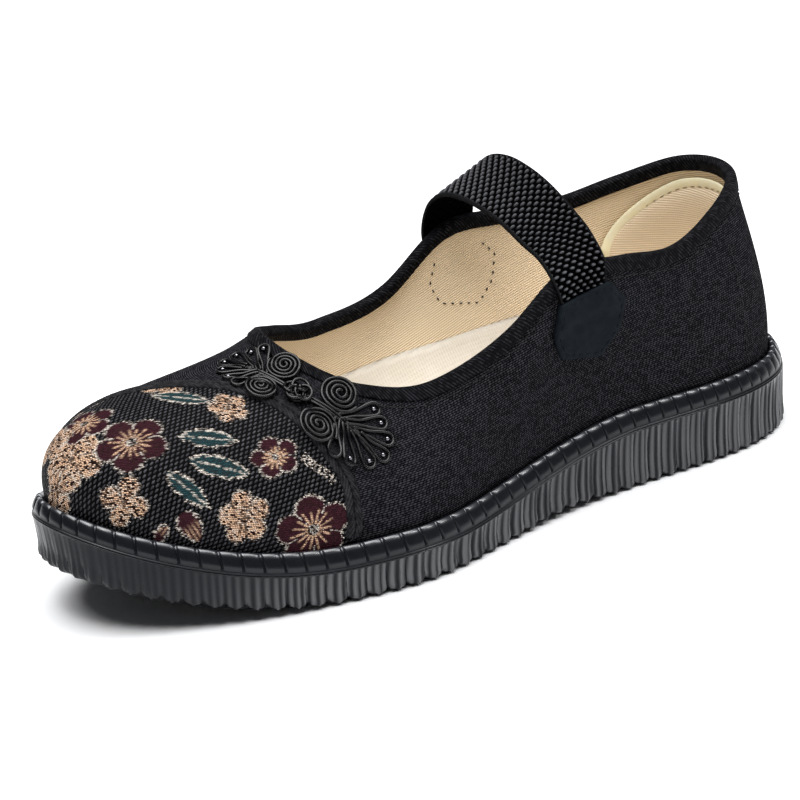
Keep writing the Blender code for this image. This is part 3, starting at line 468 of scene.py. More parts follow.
def closed_spline(points, samples):
    """Points on a smooth closed curve through the given ones."""
    points = np.asarray(points, float)
    count = len(points)
    spans = np.linalg.norm(np.roll(points, -1, axis=0) - points, axis=1)
    before = np.roll(spans, 1)
    system = np.zeros((count, count))
    right = np.zeros_like(points)
    for i in range(count):
        last, after = (i - 1) % count, (i + 1) % count
        system[i, last] += spans[i]
        system[i, i] += 2.0 * (spans[i] + before[i])
        system[i, after] += before[i]
        right[i] = 3.0 * (
            spans[i] / before[i] * (points[i] - points[last])
            + before[i] / spans[i] * (points[after] - points[i])
        )
    slopes = np.linalg.solve(system, right)
    knots = np.concatenate([[0.0], np.cumsum(spans)])
    where = np.linspace(0.0, knots[-1], samples, endpoint=False)
    span = np.clip(np.searchsorted(knots, where, side="right") - 1, 0, count - 1)
    u = ((where - knots[span]) / spans[span])[:, None]
    after = (span + 1) % count
    return hermite(u, spans[span][:, None], points[span], points[after], slopes[span], slopes[after])


def cubic(knots, values, where):
    """A smooth curve through values at uneven knots."""
    slopes = np.gradient(values, knots)
    span = np.clip(np.searchsorted(knots, where, side="right") - 1, 0, len(knots) - 2)
    h = knots[span + 1] - knots[span]
    u = (where - knots[span]) / h
    return hermite(u, h, values[span], values[span + 1], slopes[span], slopes[span + 1])


def sole_outline():
    """The sole's edge, x from the middle of its box: girths, (x, station) points and outward normals."""
    stations = OUTLINE["station"]
    outer = np.column_stack([OUTLINE["outer"], stations])
    inner = np.column_stack([OUTLINE["inner"], stations])
    knots = np.vstack([[(0.0, 0.0)], outer, [(TOE_X, LENGTH)], inner[::-1]])
    edge = closed_spline(knots, OUTLINE_SAMPLES)
    edge[:, 0] -= (edge[:, 0].max() + edge[:, 0].min()) / 2.0
    toe = int(edge[:, 1].argmax())
    loop = np.vstack([edge, edge[:1]])
    along = np.concatenate([[0.0], np.cumsum(np.linalg.norm(np.diff(loop, axis=0), axis=1))])
    girth = np.interp(along, [0.0, along[toe], along[-1]], [0.0, 0.5, 1.0])
    tangent = np.roll(edge, -1, axis=0) - np.roll(edge, 1, axis=0)
    normal = unit(np.column_stack([tangent[:, 1], -tangent[:, 0]]))
    return girth, loop, np.vstack([normal, normal[:1]])


EDGE_GIRTH, EDGE_POINTS, EDGE_NORMALS = sole_outline()
HEEL_X = EDGE_POINTS[0, 0]


def edge_at(girth, inset):
    """(x, station) at these girths, moved in from the sole's widest edge, and the outward normals."""
    girth = np.mod(girth, 1.0)
    point = np.column_stack([np.interp(girth, EDGE_GIRTH, EDGE_POINTS[:, k]) for k in (0, 1)])
    normal = unit(np.column_stack([np.interp(girth, EDGE_GIRTH, EDGE_NORMALS[:, k]) for k in (0, 1)]))
    return point - normal * np.reshape(inset, (-1, 1)), normal


def toe_rise(station):
    """How far the toe spring lifts the parting line."""
    share = np.clip((station - SPRING_START) / (LENGTH - SPRING_START), 0.0, 1.0)
    return TOE_SPRING * share**SPRING_POWER


def part_height(station):
    """Height of the parting line, where the welt band starts."""
    wedge = PART_HEEL + (PART_BALL - PART_HEEL) * smooth(WEDGE_START, WEDGE_END, station)
    return wedge + toe_rise(station)


def under_height(station):
    """Height of the underside, with its arch and toe spring."""
    arch = smooth(ARCH_START, ARCH_MIDDLE, station) - smooth(ARCH_MIDDLE, ARCH_END, station)
    return SPRING_UNDER * toe_rise(station) + ARCH_LIFT * arch


def floor_height(station):
    """Height of the well's floor."""
    return part_height(station) + BAND_HEIGHT - WELL_DEPTH


def place(points):
    """Points in metres from rows of x, station and height in millimetres."""
    points = np.asarray(points, float)
    return np.column_stack([points[:, 0], LENGTH / 2.0 - points[:, 1], points[:, 2]]) * MM


def upper_columns(girth):
    """The upper's table read smoothly at these girths, the inner side mirrored from the outer."""
    girth = np.mod(girth, 1.0)
    folded = np.where(girth > 0.5, 1.0 - girth, girth)
    side = np.where(girth > 0.5, -1.0, 1.0)
    rows = UPPER["girth"]
    heel, toe = slice(MIRRORED_ROWS, 0, -1), slice(-2, -2 - MIRRORED_ROWS, -1)
    knots = np.concatenate([-rows[heel], rows, 1.0 - rows[toe]])
    found = {}
    for name in UPPER.columns[1:]:
        values = UPPER[name]
        sign = -1.0 if name in MIRRORED_SIGNS else 1.0
        known = np.concatenate([sign * values[heel], values, sign * values[toe]])
        found[name] = cubic(knots, known, folded)
    for name in MIRRORED_SIGNS:
        found[name] = found[name] * side
    return found


def upper_surface(girth, share):
    """Outer face of the upper as rows of x, station and height. Below share 0 it goes straight down."""
    girth, share = np.broadcast_arrays(np.ravel(girth), np.ravel(share))
    row = upper_columns(girth)
    foot, normal = edge_at(girth, RIM + GAP)
    out = np.column_stack([normal, np.zeros(len(normal))])
    up = np.array([0.0, 0.0, 1.0])
    p0 = np.column_stack([foot, part_height(foot[:, 1]) + BAND_HEIGHT])
    across = HEEL_X + row["centre"] + row["half"]
    p3 = np.column_stack([across, row["station"], row["height"] - row["tilt"]])
    p1 = p0 + out * row["flare"][:, None] + up * row["rise"][:, None]
    p2 = p3 + out * row["reach"][:, None] - up * row["drop"][:, None]
    v = np.clip(share, 0.0, None)[:, None]
    below = np.clip(share, None, 0.0)[:, None]
    rib = (1 - v) ** 3 * p0 + 3 * (1 - v) ** 2 * v * p1 + 3 * (1 - v) * v**2 * p2 + v**3 * p3
    return rib + up * below * WELL_DEPTH


def wall_frame(girth, share):
    """Points of the upper's outer face, its outward normals and its directions up the wall."""
    girth, share = np.asarray(girth, float), np.asarray(share, float)
    step = DIFFERENCE
    here = upper_surface(girth, share)
    around = upper_surface(girth + step, share) - upper_surface(girth - step, share)
    upward = upper_surface(girth, share + step) - upper_surface(girth, share - step)
    return here, unit(np.cross(around, upward)), unit(upward)


def on_wall(girth, share, lift):
    """Points at a distance outside the upper's outer face."""
    here, normal, _ = wall_frame(girth, share)
    return here + normal * np.reshape(lift, (-1, 1))


def wall_grid(girth, share, lift):
    """A grid of points on the wall, from grids of girths, shares and lifts."""
    girth, share, lift = np.broadcast_arrays(girth, share, lift)
    return on_wall(girth.ravel(), share.ravel(), lift.ravel()).reshape(*girth.shape, 3)


def solve_wall(girth, share, error_of, rounds=12):
    """Moves girths and shares until error_of, two numbers a point, is nothing."""
    girth, share = np.array(girth, float), np.array(share, float)
    step = DIFFERENCE
    for _ in range(rounds):
        error = error_of(upper_surface(girth, share))
        by_girth = (error_of(upper_surface(girth + step, share)) - error) / step
        by_share = (error_of(upper_surface(girth, share + step)) - error) / step
        change = np.linalg.solve(np.stack([by_girth, by_share], axis=2), error[:, :, None])[:, :, 0]
        girth = girth - np.clip(change[:, 0], -MOST_TURN, MOST_TURN)
        share = share - np.clip(change[:, 1], -MOST_CLIMB, MOST_CLIMB)
    return girth, share


def wall_at(station, height, side):
    """Girths and shares near the strap's end on one side, at these stations and heights of the wall."""
    girth = np.full(len(station), STRAP_GIRTH if side > 0 else 1.0 - STRAP_GIRTH)
    aim = np.column_stack([station, height])
    return solve_wall(girth, np.full(len(station), STRAP_SHARE), lambda p: p[:, 1:] - aim)


def wall_around(girth, share, axis, along, across):
    """Girths and shares of places measured in the plane that touches the wall at one point."""
    centre, normal, _ = wall_frame([girth], [share])
    first = unit(np.array(axis) - normal[0] * np.dot(axis, normal[0]))
    flat = np.column_stack([first, np.cross(first, normal[0])])
    aim = np.column_stack([along, across])
    start = np.full(len(aim), girth), np.full(len(aim), share)
    return solve_wall(*start, lambda p: (p - centre) @ flat - aim)


def rib_lengths(girth):
    """Lengths of the wall's ribs near the collar, as millimetres for each whole share."""
    near = upper_surface(girth, 1.0) - upper_surface(girth, NEAR_COLLAR)
    return np.linalg.norm(near, axis=1) / (1.0 - NEAR_COLLAR)


def wall_shares_at(girth, height):
    """Shares where the ribs at these girths reach these heights."""
    shares = np.linspace(0.0, 1.0, RIB_SAMPLES)
    heights = np.column_stack([upper_surface(girth, share)[:, 2] for share in shares])
    return np.array([np.interp(h, row, shares) for h, row in zip(height, heights)])


def braid_path(steps):
    """Girths and shares along the middle of the braid."""
    along = np.linspace(0.0, 1.0, len(BRAID.rows))
    where = np.linspace(0.0, 1.0, steps + 1)
    girth, share = (BRAID[name] for name in BRAID.columns)
    return cubic(along, girth, where), cubic(along, share, where)


def trim_rise(girth, share):
    """How far the braid and the binding stand up under these places, easing down beside them."""
    path = upper_surface(*braid_path(BRAID_STEPS))
    points = upper_surface(girth, share)
    apart = np.linalg.norm(points[:, None, :] - path[None, :, :], axis=2).min(axis=1)
    over_braid = 1.0 - smooth(0.0, TRIM_EASE, apart - BRAID_WIDTH / 2.0)
    depth = (1.0 - share) * rib_lengths(girth)
    over_tape = 1.0 - smooth(0.0, TRIM_EASE, depth - BINDING_DEPTH)
    return np.maximum(over_braid * (BRAID_HEIGHT + GAP), over_tape * (TAPE + TAPE_GAP))


def collar_height(station, side):
    """Heights of the collar at stations under the strap, on one side."""
    girth = np.linspace(*STRAP_GIRTHS, RIB_SAMPLES)
    edge = upper_surface(girth if side > 0 else 1.0 - girth, 1.0)
    return np.interp(station, edge[:, 1], edge[:, 2])


# Meshes from grids of points
def corners(grid):
    """The four corners of each cell of a grid."""
    cells = [grid[:-1, :-1], grid[:-1, 1:], grid[1:, 1:], grid[1:, :-1]]
    return np.stack(cells, axis=2).reshape(-1, 4, *grid.shape[2:])


def lengths(path):
    """Distances along a path, from 0."""
    return np.concatenate([[0.0], np.cumsum(np.linalg.norm(np.diff(path, axis=0), axis=1))])


def walk(path, where, values=None):
    """A path's points, or values given at them, read at distances along it."""
    values = path if values is None else values
    known = lengths(path)
    return np.column_stack([np.interp(where, known, column) for column in values.T])


def cloth_places(points, wrap=False):
    """Places on the cloth in millimetres: the distance along the middle row, and up each column."""
    ring = np.concatenate([points, points[:, :1]], axis=1) if wrap else points
    along = lengths(ring[len(ring) // 2])
    steps = np.linalg.norm(np.diff(ring, axis=0), axis=2)
    up = np.vstack([np.zeros(ring.shape[1]), np.cumsum(steps, axis=0)])
    return np.stack([np.broadcast_to(along, up.shape), up], axis=2)


class Form:
    """Grids of points in millimetres, gathered into one mesh."""

    def __init__(self):
        self.points, self.quads, self.places, self.tints = [], [], [], []
        self.count = 0

    def grid(self, points, places=None, wrap=False, tint=None):
        """A grid, closed into a tube where it wraps."""
        points = np.asarray(points, float)
        rows, columns = points.shape[:2]
        index = self.count + np.arange(rows * columns).reshape(rows, columns)
        if wrap:
            index = np.hstack([index, index[:, :1]])
        if places is None:
            places = cloth_places(points, wrap)
        if tint is None:
            tint = np.ones((rows, columns, 4))
        self.points.append(points.reshape(-1, 3))
        self.quads.append(corners(index))
        self.places.append(corners(places))
        self.tints.append(tint.reshape(-1, 4))
        self.count += rows * columns

    def shell(self, outer, inner, wrap=False, tint=None, places=None, under=True):
        """A sheet between two grids, closed all round, or open below where nothing shows. Its under side's
        tint is darkened as painted shade.
        """
        if places is None:
            places = cloth_places(outer, wrap)
        self.grid(outer, places, wrap, tint)
        if under:
            # painted shade: the under side's tint darkened
            self.grid(inner, places, wrap, None if tint is None else tint * UNDER_SHADE)
        rows = [np.s_[end] for end in (0, -1)]
        sides = [] if wrap else [np.s_[:, end] for end in (0, -1)]
        for edge in rows + sides:
            twice = None if tint is None else np.stack([tint[edge]] * 2)
            self.grid(np.stack([outer[edge], inner[edge]]), np.stack([places[edge]] * 2), wrap, twice)

    def tube(self, path, ups, radius, sides=CORD_SIDES, closed=False, flat=1.0):
        """A cord along a path, with closed ends, flattened in its up direction."""
        path, ups = np.asarray(path, float), np.broadcast_to(ups, np.shape(path))
        radius = np.broadcast_to(np.asarray(radius, float), len(path))
        if closed:
            tangent = np.roll(path, -1, axis=0) - np.roll(path, 1, axis=0)
        else:
            tangent = np.gradient(path, axis=0)
        side = unit(np.cross(tangent, ups))
        up = unit(np.cross(side, tangent))
        angle = 2.0 * np.pi * np.arange(sides) / sides
        up = up * flat
        turn = np.cos(angle)[None, :, None] * side[:, None] + np.sin(angle)[None, :, None] * up[:, None]
        rings = path[:, None] + turn * radius[:, None, None]
        if closed:
            rings = np.concatenate([rings, rings[:1]])
        else:
            ends = [np.repeat(path[[k]][:, None], sides, axis=1) for k in (0, -1)]
            rings = np.concatenate([ends[0], rings, ends[1]])
        around = 2.0 * np.pi * radius.mean() * np.arange(sides + 1) / sides
        along = lengths(rings[:, 0])
        self.grid(rings, np.stack(np.meshgrid(around, along), axis=2), wrap=True)

    def ball(self, centre, up, radius, flat=1.0):
        """A bead, round about its up direction."""
        side = unit(np.cross(up, ODD_WAY))
        polar = np.linspace(0.0, np.pi, BALL_ROWS)[:, None, None]
        angle = (2.0 * np.pi * np.arange(BALL_SIDES) / BALL_SIDES)[None, :, None]
        out = np.cos(angle) * side + np.sin(angle) * np.cross(up, side)
        self.grid(centre + radius * (np.sin(polar) * out + np.cos(polar) * flat * up), wrap=True)

    def stitches(self, path, ups, length, gap, radius):
        """A row of thread stitches along a path, each sunk at its ends."""
        part = np.linspace(0.0, 1.0, STITCH_STEPS)
        rise = radius * (STITCH_RISE * np.sin(np.pi * part) ** STITCH_ROUND - 1.0)
        for start in np.arange(gap, lengths(path)[-1] - length, length + gap):
            where = start + length * part
            up = unit(walk(path, where, ups))
            self.tube(walk(path, where) + up * rise[:, None], up, radius, sides=STITCH_SIDES)

    def piece(self, name, finish, slot, replaces=()):
        """The mesh as a piece that rides on the shoe's one body."""
        mesh = bpy.data.meshes.new(name)
        quads = np.vstack(self.quads)
        mesh.from_pydata(place(np.vstack(self.points)).tolist(), [], quads.tolist())
        layer = mesh.uv_layers.new(name="cloth")
        layer.data.foreach_set("uv", np.vstack(self.places).astype(np.float32).ravel())
        tints = mesh.color_attributes.new("pattern", "FLOAT_COLOR", "POINT")
        tints.data.foreach_set("color", np.vstack(self.tints).astype(np.float32).ravel())
        bm = bmesh.new()
        bm.from_mesh(mesh)
        bmesh.ops.remove_doubles(bm, verts=bm.verts, dist=MERGE)
        bmesh.ops.dissolve_degenerate(bm, edges=bm.edges, dist=MERGE)
        bmesh.ops.recalc_face_normals(bm, faces=bm.faces)
        bm.to_mesh(mesh)
        bm.free()
        mesh.shade_smooth()
        mesh.materials.append(finish)
        obj = bpy.data.objects.new(name, mesh)
        bpy.context.scene.collection.objects.link(obj)
        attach(obj, "root")
        if replaces:
            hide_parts(*replaces)
        return obj


def across_fill(ring, columns):
    """A grid over the inside of a ring, from each point to the one over from it."""
    half = len(ring) // 2
    left, right = ring[: half + 1], ring[-np.arange(half + 1)]
    share = np.linspace(0.0, 1.0, columns + 1)[None, :, None]
    return left[:, None] + (right - left)[:, None] * share


# Materials
def full_colour(thousandths):
    """A colour for a socket."""
    return (*(part / THOUSAND for part in thousandths), 1.0)


class Finish:
    """A material with short ways to add and join its nodes."""

    def __init__(self, name):
        self.row = next(row for row in FINISHES.each() if row["name"] == name)
        self.material = bpy.data.materials.new(name)
        self.material.use_nodes = True
        self.tree = self.material.node_tree
        self.shader = self.tree.nodes["Principled BSDF"]
        sockets = {"Base Color": full_colour(self.row["base"]), "Roughness": self.row["roughness"]}
        for key, value in {**sockets, **self.row["sockets"]}.items():
            self.shader.inputs[key].default_value = value

    def add(self, kind, inputs=(), **settings):
        """A node with its inputs and settings."""
        made = self.tree.nodes.new(kind)
        for key, value in settings.items():
            setattr(made, key, value)
        for key, value in dict(inputs).items():
            self.join(value, made.inputs[key])
        return made

    def join(self, value, socket):
        """Links or sets a socket."""
        if isinstance(value, bpy.types.NodeSocket):
            self.tree.links.new(value, socket)
        else:
            socket.default_value = value

    def math(self, operation, first, second=0.0):
        return self.add("ShaderNodeMath", {0: first, 1: second}, operation=operation).outputs[0]

    def sum(self, first, *others):
        for other in others:
            first = self.math("ADD", first, other)
        return first

    def times(self, first, *others):
        for other in others:
            first = self.math("MULTIPLY", first, other)
        return first

    def wave(self, value, pitch):
        """A sine wave from 0 to 1 with this pitch."""
        sine = self.math("SINE", self.math("MULTIPLY", value, 2.0 * np.pi / pitch))
        return self.math("ADD", self.math("MULTIPLY", sine, 0.5), 0.5)

    def cloth(self):
        """The places on the cloth, in millimetres."""
        made = self.add("ShaderNodeUVMap", uv_map="cloth")
        parts = self.add("ShaderNodeSeparateXYZ", {0: made.outputs[0]})
        return parts.outputs[0], parts.outputs[1]

    def noise(self, size, detail=2.0):
        """Noise of a feature size in millimetres, from 0 to 1."""
        where = self.add("ShaderNodeTexCoord").outputs["Object"]
        inputs = {"Vector": where, "Scale": 1.0 / (size * MM), "Detail": detail}
        return self.add("ShaderNodeTexNoise", inputs).outputs["Fac"]

    def mottle(self):
        """The finish's own mottle."""
        size, detail, *span = self.row["mottle"]
        return self.fit(self.noise(size, detail), *span)

    def chance(self, inputs, dimensions):
        """A scattered value from 0 to 1 for each whole input."""
        return self.add("ShaderNodeTexWhiteNoise", inputs, noise_dimensions=dimensions).outputs["Value"]

    def centred(self, value):
        """How far a value is from the middle of its whole step."""
        return self.math("SUBTRACT", self.math("FRACT", value), 0.5)

    def tint(self):
        """The mesh's own colours and their alpha."""
        return self.add("ShaderNodeVertexColor", layer_name="pattern").outputs

    def threads(self, u, v, along, across, least):
        """Rows of short threads, the lowest of them at a least height and the highest at 1."""
        line = self.math("DIVIDE", v, across)
        row = self.math("FLOOR", line)
        spot = self.sum(self.math("DIVIDE", u, along), self.chance({"W": row}, "1D"))
        cell = self.add("ShaderNodeCombineXYZ", {0: self.math("FLOOR", spot), 1: row}).outputs[0]
        fu, fv = self.centred(spot), self.centred(line)
        far = self.sum(self.times(fu, fu, THREAD_ENDS), self.times(fv, fv, THREAD_SIDES))
        shape = self.math("MAXIMUM", self.math("SUBTRACT", 1.0, far), 0.0)
        return self.times(shape, self.fit(self.chance({"Vector": cell}, "2D"), 0.0, 1.0, least, 1.0))

    def fit(self, value, low, high, to_low=0.0, to_high=1.0):
        """A value's smooth way from low to high, turned into another range."""
        inputs = {0: value, 1: low, 2: high, 3: to_low, 4: to_high}
        return self.add("ShaderNodeMapRange", inputs, interpolation_type="SMOOTHSTEP").outputs[0]

    def mix(self, factor, first, second):
        made = self.add("ShaderNodeMix", {0: factor, 6: first, 7: second}, data_type="RGBA")
        return made.outputs[2]

    def tones(self, factor):
        """The finish's dark and light tones, mixed."""
        return self.mix(factor, full_colour(self.row["dark"]), full_colour(self.row["light"]))

    def done(self, colour, height=None):
        """The material with its colour and, where there is one, its relief."""
        self.join(colour, self.shader.inputs["Base Color"])
        if height is not None:
            relief = {"Height": height, "Distance": self.row["relief"] * MM, "Strength": 1.0}
            self.join(self.add("ShaderNodeBump", relief).outputs[0], self.shader.inputs["Normal"])
        return self.material

    def grains(self, u, v, along, across, slant):
        """Heights of a lattice of staggered slanted grains, from 0 to 1."""
        row = self.math("DIVIDE", v, across)
        odd = self.times(self.math("MODULO", self.math("FLOOR", row), 2.0), 0.5)
        fu = self.centred(self.sum(self.math("DIVIDE", u, along), odd))
        lean = self.math("SUBTRACT", self.centred(row), self.times(fu, slant))
        far_u = self.math("POWER", self.math("DIVIDE", fu, GROUND_LONG), 2.0)
        far_v = self.math("POWER", self.math("DIVIDE", lean, GROUND_WIDE), 2.0)
        return self.math("MAXIMUM", self.math("SUBTRACT", self.math("SUBTRACT", 1.0, far_u), far_v), 0.0)


def rubber():
    """Dull rubber under a glossy skin that follows the folds of the ribs and the tops of the blocks. The
    same tint paints highlight along the folds and on the block tops, and shade at the toe, into its colour.
    """
    made = Finish("moulded_rubber")
    streak = made.tint()["Color"]
    made.join(made.fit(streak, 0.0, 1.0, LEAST_COAT, 1.0), made.shader.inputs["Coat Weight"])
    made.join(made.mottle(), made.shader.inputs["Roughness"])
    # painted highlight and shade: the same tint mixes the colour from the dark tone to the light
    return made.done(made.tones(streak), made.noise(RUBBER_GRAIN))


def quarter_cloth():
    """Black twill of short uneven threads, painted lighter on their crowns as highlight and darker between
    them as shade.
    """
    made = Finish("quarter_twill")
    u, v = made.cloth()
    height = made.threads(u, made.sum(v, made.times(u, QUARTER_SLOPE)), *QUARTER_WEAVE, QUARTER_LEAST)
    return made.done(made.tones(made.fit(height, *QUARTER_TONES)), height)


def brocade():
    """A woven ground of slanted grains, with finer threads, open or dense, where there is a figure. The
    grains and threads are painted lighter on their crowns as highlight and darker between as shade.
    """
    made = Finish("floral_brocade")
    u, v = made.cloth()
    tint = made.tint()
    ground = made.grains(u, v, *GROUND_WEAVE, GROUND_SLANT)
    figure = made.threads(u, made.sum(v, made.times(u, FIGURE_SLOPE)), *FIGURE_WEAVE, 0.0)
    black = made.tones(made.times(made.fit(ground, *GROUND_TONES), made.mottle()))
    coloured = made.fit(tint["Alpha"], 0.0, OPEN_WEAVE)
    least = made.fit(tint["Alpha"], OPEN_WEAVE, 1.0, 0.0, FIGURE_LEAST)
    threads = made.math("MAXIMUM", made.fit(figure, *FIGURE_TONES), least)
    colour = made.mix(coloured, black, made.mix(threads, full_colour(FIGURE_SHADE), tint["Color"]))
    return made.done(colour, made.sum(ground, made.times(made.math("SUBTRACT", figure, ground), coloured)))


def lining_cloth(name, slope):
    """Ribbed lining whose fine dark lines climb by a slope."""
    made = Finish(name)
    u, v = made.cloth()
    ribs = made.wave(made.sum(v, made.times(u, -slope)), LINING_PITCH)
    threads = made.wave(u, LINING_PITCH * LINING_CROSS)
    pale = made.fit(made.sum(ribs, made.times(threads, LINING_CROSS_TONE)), *LINING_TONES)
    return made.done(made.tones(pale), made.sum(ribs, made.times(threads, LINING_CROSS_RISE)))


def footbed_cloth():
    """Pale sock cloth with a faint weave."""
    made = Finish("footbed_cloth")
    u, v = made.cloth()
    weave = made.times(made.wave(u, FOOTBED_PITCH), made.wave(v, FOOTBED_PITCH))
    return made.done(made.tones(made.mottle()), weave)


def tape_twill():
    """Black tape with slanted ribs, painted lighter on their crowns as highlight and mottled at random."""
    made = Finish("twill_tape")
    u, v = made.cloth()
    ribs = made.wave(made.sum(u, made.times(v, TAPE_SLOPE)), TAPE_PITCH)
    rib_highlight_and_mottle = made.times(ribs, made.mottle())
    return made.done(made.tones(made.fit(rib_highlight_and_mottle, *TAPE_TONES)), ribs)


def braid_cloth():
    """Black braid with painted shade between its plaits and painted highlight on them, mottled at random.
    """
    made = Finish("seam_braid")
    u, v = made.cloth()
    fibre = made.wave(made.sum(u, made.times(v, FIBRE_SLOPE)), BRAID_FIBRE)
    return made.done(made.tones(made.times(made.tint()["Color"], made.mottle())), fibre)


def elastic_cloth():
    """Black webbing with painted shade between its grains and painted highlight on them."""
    made = Finish("elastic_webbing")
    u, v = made.cloth()
    fibre = made.wave(made.sum(made.times(u, FIBRE_SLOPE), v), ELASTIC_FIBRE)
    return made.done(made.tones(made.tint()["Color"]), fibre)


def leatherette():
    """Charcoal leatherette with a fine grain."""
    made = Finish("charcoal_leatherette")
    return made.done(made.tones(made.mottle()), made.noise(*LEATHER_GRAIN))


def satin_cord():
    """Black glossy twisted cord."""
    made = Finish("satin_cord")
    u, v = made.cloth()
    return made.done(made.tones(made.mottle()), made.wave(made.sum(v, u), CORD_TWIST))


def plain(name, grain):
    """A finish of two near tones with a grain of a size."""
    made = Finish(name)
    return made.done(made.tones(made.mottle()), made.noise(grain))


# Pieces
def block_rise(off):
    """A welt block's rise, from its middle at off 0 to the line between it and the next at 0.5."""
    return (1.0 - BLOCK_SAG * (off / BLOCK_END[1]) ** BLOCK_SAG_POWER) * (1.0 - smooth(*BLOCK_END, off))


def rib_girths(phase):
    """Girths of places counted in ribs from the heel. The ribs are closer at the heel and the toe."""
    fine = np.linspace(0.0, 1.0, OUTLINE_SAMPLES + 1)
    density = (RIB_DENSITY[name] for name in RIB_DENSITY.columns)
    ribs = np.interp(np.minimum(fine, 1.0 - fine), *density)
    count = np.concatenate([[0.0], np.cumsum(ribs[1:] + ribs[:-1])])
    return np.interp(phase % RIBS, count / count[-1] * RIBS, fine)


def rib_gloss_and_painted_streaks(phase, share, toe):
    """How glossy the ribs' folds are, also painted into the rubber's colour as highlight: more so low down
    their height, plainer and darker at the toe, where the darkening is painted shade.
    """
    wander = sum(size * np.sin(2.0 * np.pi * waves * phase / RIBS) for waves, size in STREAK_WANDER)
    fold = 0.5 + 0.5 * np.cos(2.0 * np.pi * STREAK_FOLDS * (phase + STREAK_LEAN * share) + wander)
    fold = fold**STREAK_SPREAD
    plainer = fold + TOE_PLAIN * toe * (STREAK_PLAIN - fold)
    return plainer * (1.0 - STREAK_LOW * share) * (1.0 - TOE_DULLING_AND_SHADE * toe)


def sole_rings():
    """Rings of points from the tread's edge up the folded ribs, the ledge and the welt blocks to the well,
    and how glossy each point is, which the rubber also paints into its colour as highlight and shade."""
    places = np.concatenate([[-0.5], -np.array(RIB_PLACES[::-1]), [0.0], RIB_PLACES])
    phase = (np.arange(RIBS)[:, None] + places).ravel()
    girth = rib_girths(phase)
    off = np.abs(phase - np.round(phase))
    groove = (2.0 * off) ** RIB_POWER
    uneven = 1.0 - FOLD_UNEVEN + FOLD_UNEVEN * np.sin(FOLD_CHANGE * np.round(phase))
    folds = FOLD_DEPTH * uneven * np.cos(2.0 * np.pi * FOLDS * phase) * (1.0 - groove)
    block = block_rise(off)
    divider = DIVIDER * smooth(*DIVIDER_START, off)
    middle, _ = edge_at(girth, 0.0)
    toe = smooth(TOE_FADE_START, TOE_FADE_END, middle[:, 1])
    around = lengths(EDGE_POINTS)[-1]
    rings, gloss = [], []
    for row in SIDE.each():
        rib = row["rib"] * (1.0 - TOE_FADE * toe * min(1.0, TOE_FADE_RISE * row["share"]))
        face = block + divider * (1.0 - smooth(*DIVIDER_TOP, row["lift"]))
        inset = row["inset"] + rib * (RIB_DEPTH * groove - folds) - row["bead"] * BEAD_RISE * (face - 0.5)
        lean = BLOCK_LEAN * row["bead"] * (row["lift"] - BAND_HEIGHT / 2.0) / around
        edge, _ = edge_at(girth + lean, inset)
        under = under_height(edge[:, 1])
        height = under + row["share"] * (part_height(edge[:, 1]) - under) + row["lift"]
        dip = BLOCK_DIP * row["bead"] * smooth(BAND_HEIGHT / 2.0, BAND_HEIGHT, row["lift"]) * (1.0 - block)
        scallop = SCALLOP * rib * groove * (1.0 - row["share"]) ** 3
        rings.append(np.column_stack([edge, height - dip + scallop]))
        # block tops glossier and painted lighter as a highlight
        block_top_gloss_and_highlight = STREAK_PLAIN + (1.0 - STREAK_PLAIN) * smooth(*BLOCK_GLOSS_AND_HIGHLIGHT, row["lift"])
        fold_gloss_and_highlight = rib_gloss_and_painted_streaks(phase, row["share"], toe)
        gloss.append(fold_gloss_and_highlight if row["share"] < 1.0 else np.full(len(phase), block_top_gloss_and_highlight))
    return np.stack(rings), np.stack(gloss)


def tread_grid(ring):
    """The underside inside a ring, with wavy cuts across it that stop short of its border."""
    tread = across_fill(ring, TREAD_COLUMNS)
    sides = [np.linalg.norm(tread - edge, axis=2) for edge in (tread[:, :1], tread[:, -1:])]
    margin = np.minimum.reduce([*sides, tread[..., 1], LENGTH - tread[..., 1]])
    wander = TREAD_WAVE * np.sin(2.0 * np.pi * tread[..., 0] / TREAD_WAVE_LENGTH)
    ridge = np.abs(((tread[..., 1] + wander) / TREAD_PITCH) % 1.0 - 0.5) * 2.0
    cut = smooth(*TREAD_CUT, ridge) * smooth(*TREAD_BORDER, margin)
    tread[..., 2] = under_height(tread[..., 1]) + TREAD_DEPTH * cut
    return tread


def sole(finish):
    """The moulded sole: its side, well and tread."""
    rings, gloss = sole_rings()
    form = Form()
    # the tint sets the rubber's coat and, as painted highlight and shade, its colour
    form.grid(rings, wrap=True, tint=heights_tint(gloss))
    for fill in (across_fill(rings[-1], WELL_COLUMNS), tread_grid(rings[0])):
        form.grid(fill, tint=heights_tint(np.full(fill.shape[:2], STREAK_PLAIN)))
    return form.piece("sole", finish, "rubber", ["outsole"])


def crease_depth(points):
    """How far the creases lift or sink the cloth at these points."""
    total = np.zeros(len(points))
    for row in CREASES.each():
        centre, normal, up = wall_frame([row["girth"]], [row["share"]])
        turn = np.radians(row["turn"])
        around = np.cross(up[0], normal[0])
        along = np.cos(turn) * around + np.sin(turn) * up[0]
        beside = np.cross(along, normal[0])
        away = points - centre
        far = ((away @ along) / (row["length"] / 2.0)) ** 2 + ((away @ beside) / row["width"]) ** 2
        total += row["depth"] * np.exp(-2.0 * far)
    return total


def crease_lift(girth, share):
    """The creases' lifts at grids of girths and shares, fading out at the band and under the tape."""
    depth = crease_depth(wall_grid(girth, share, 0.0).reshape(-1, 3)).reshape(girth.shape)
    return depth * smooth(*CREASE_FOOT, share) * (1.0 - smooth(*CREASE_TOP, share))


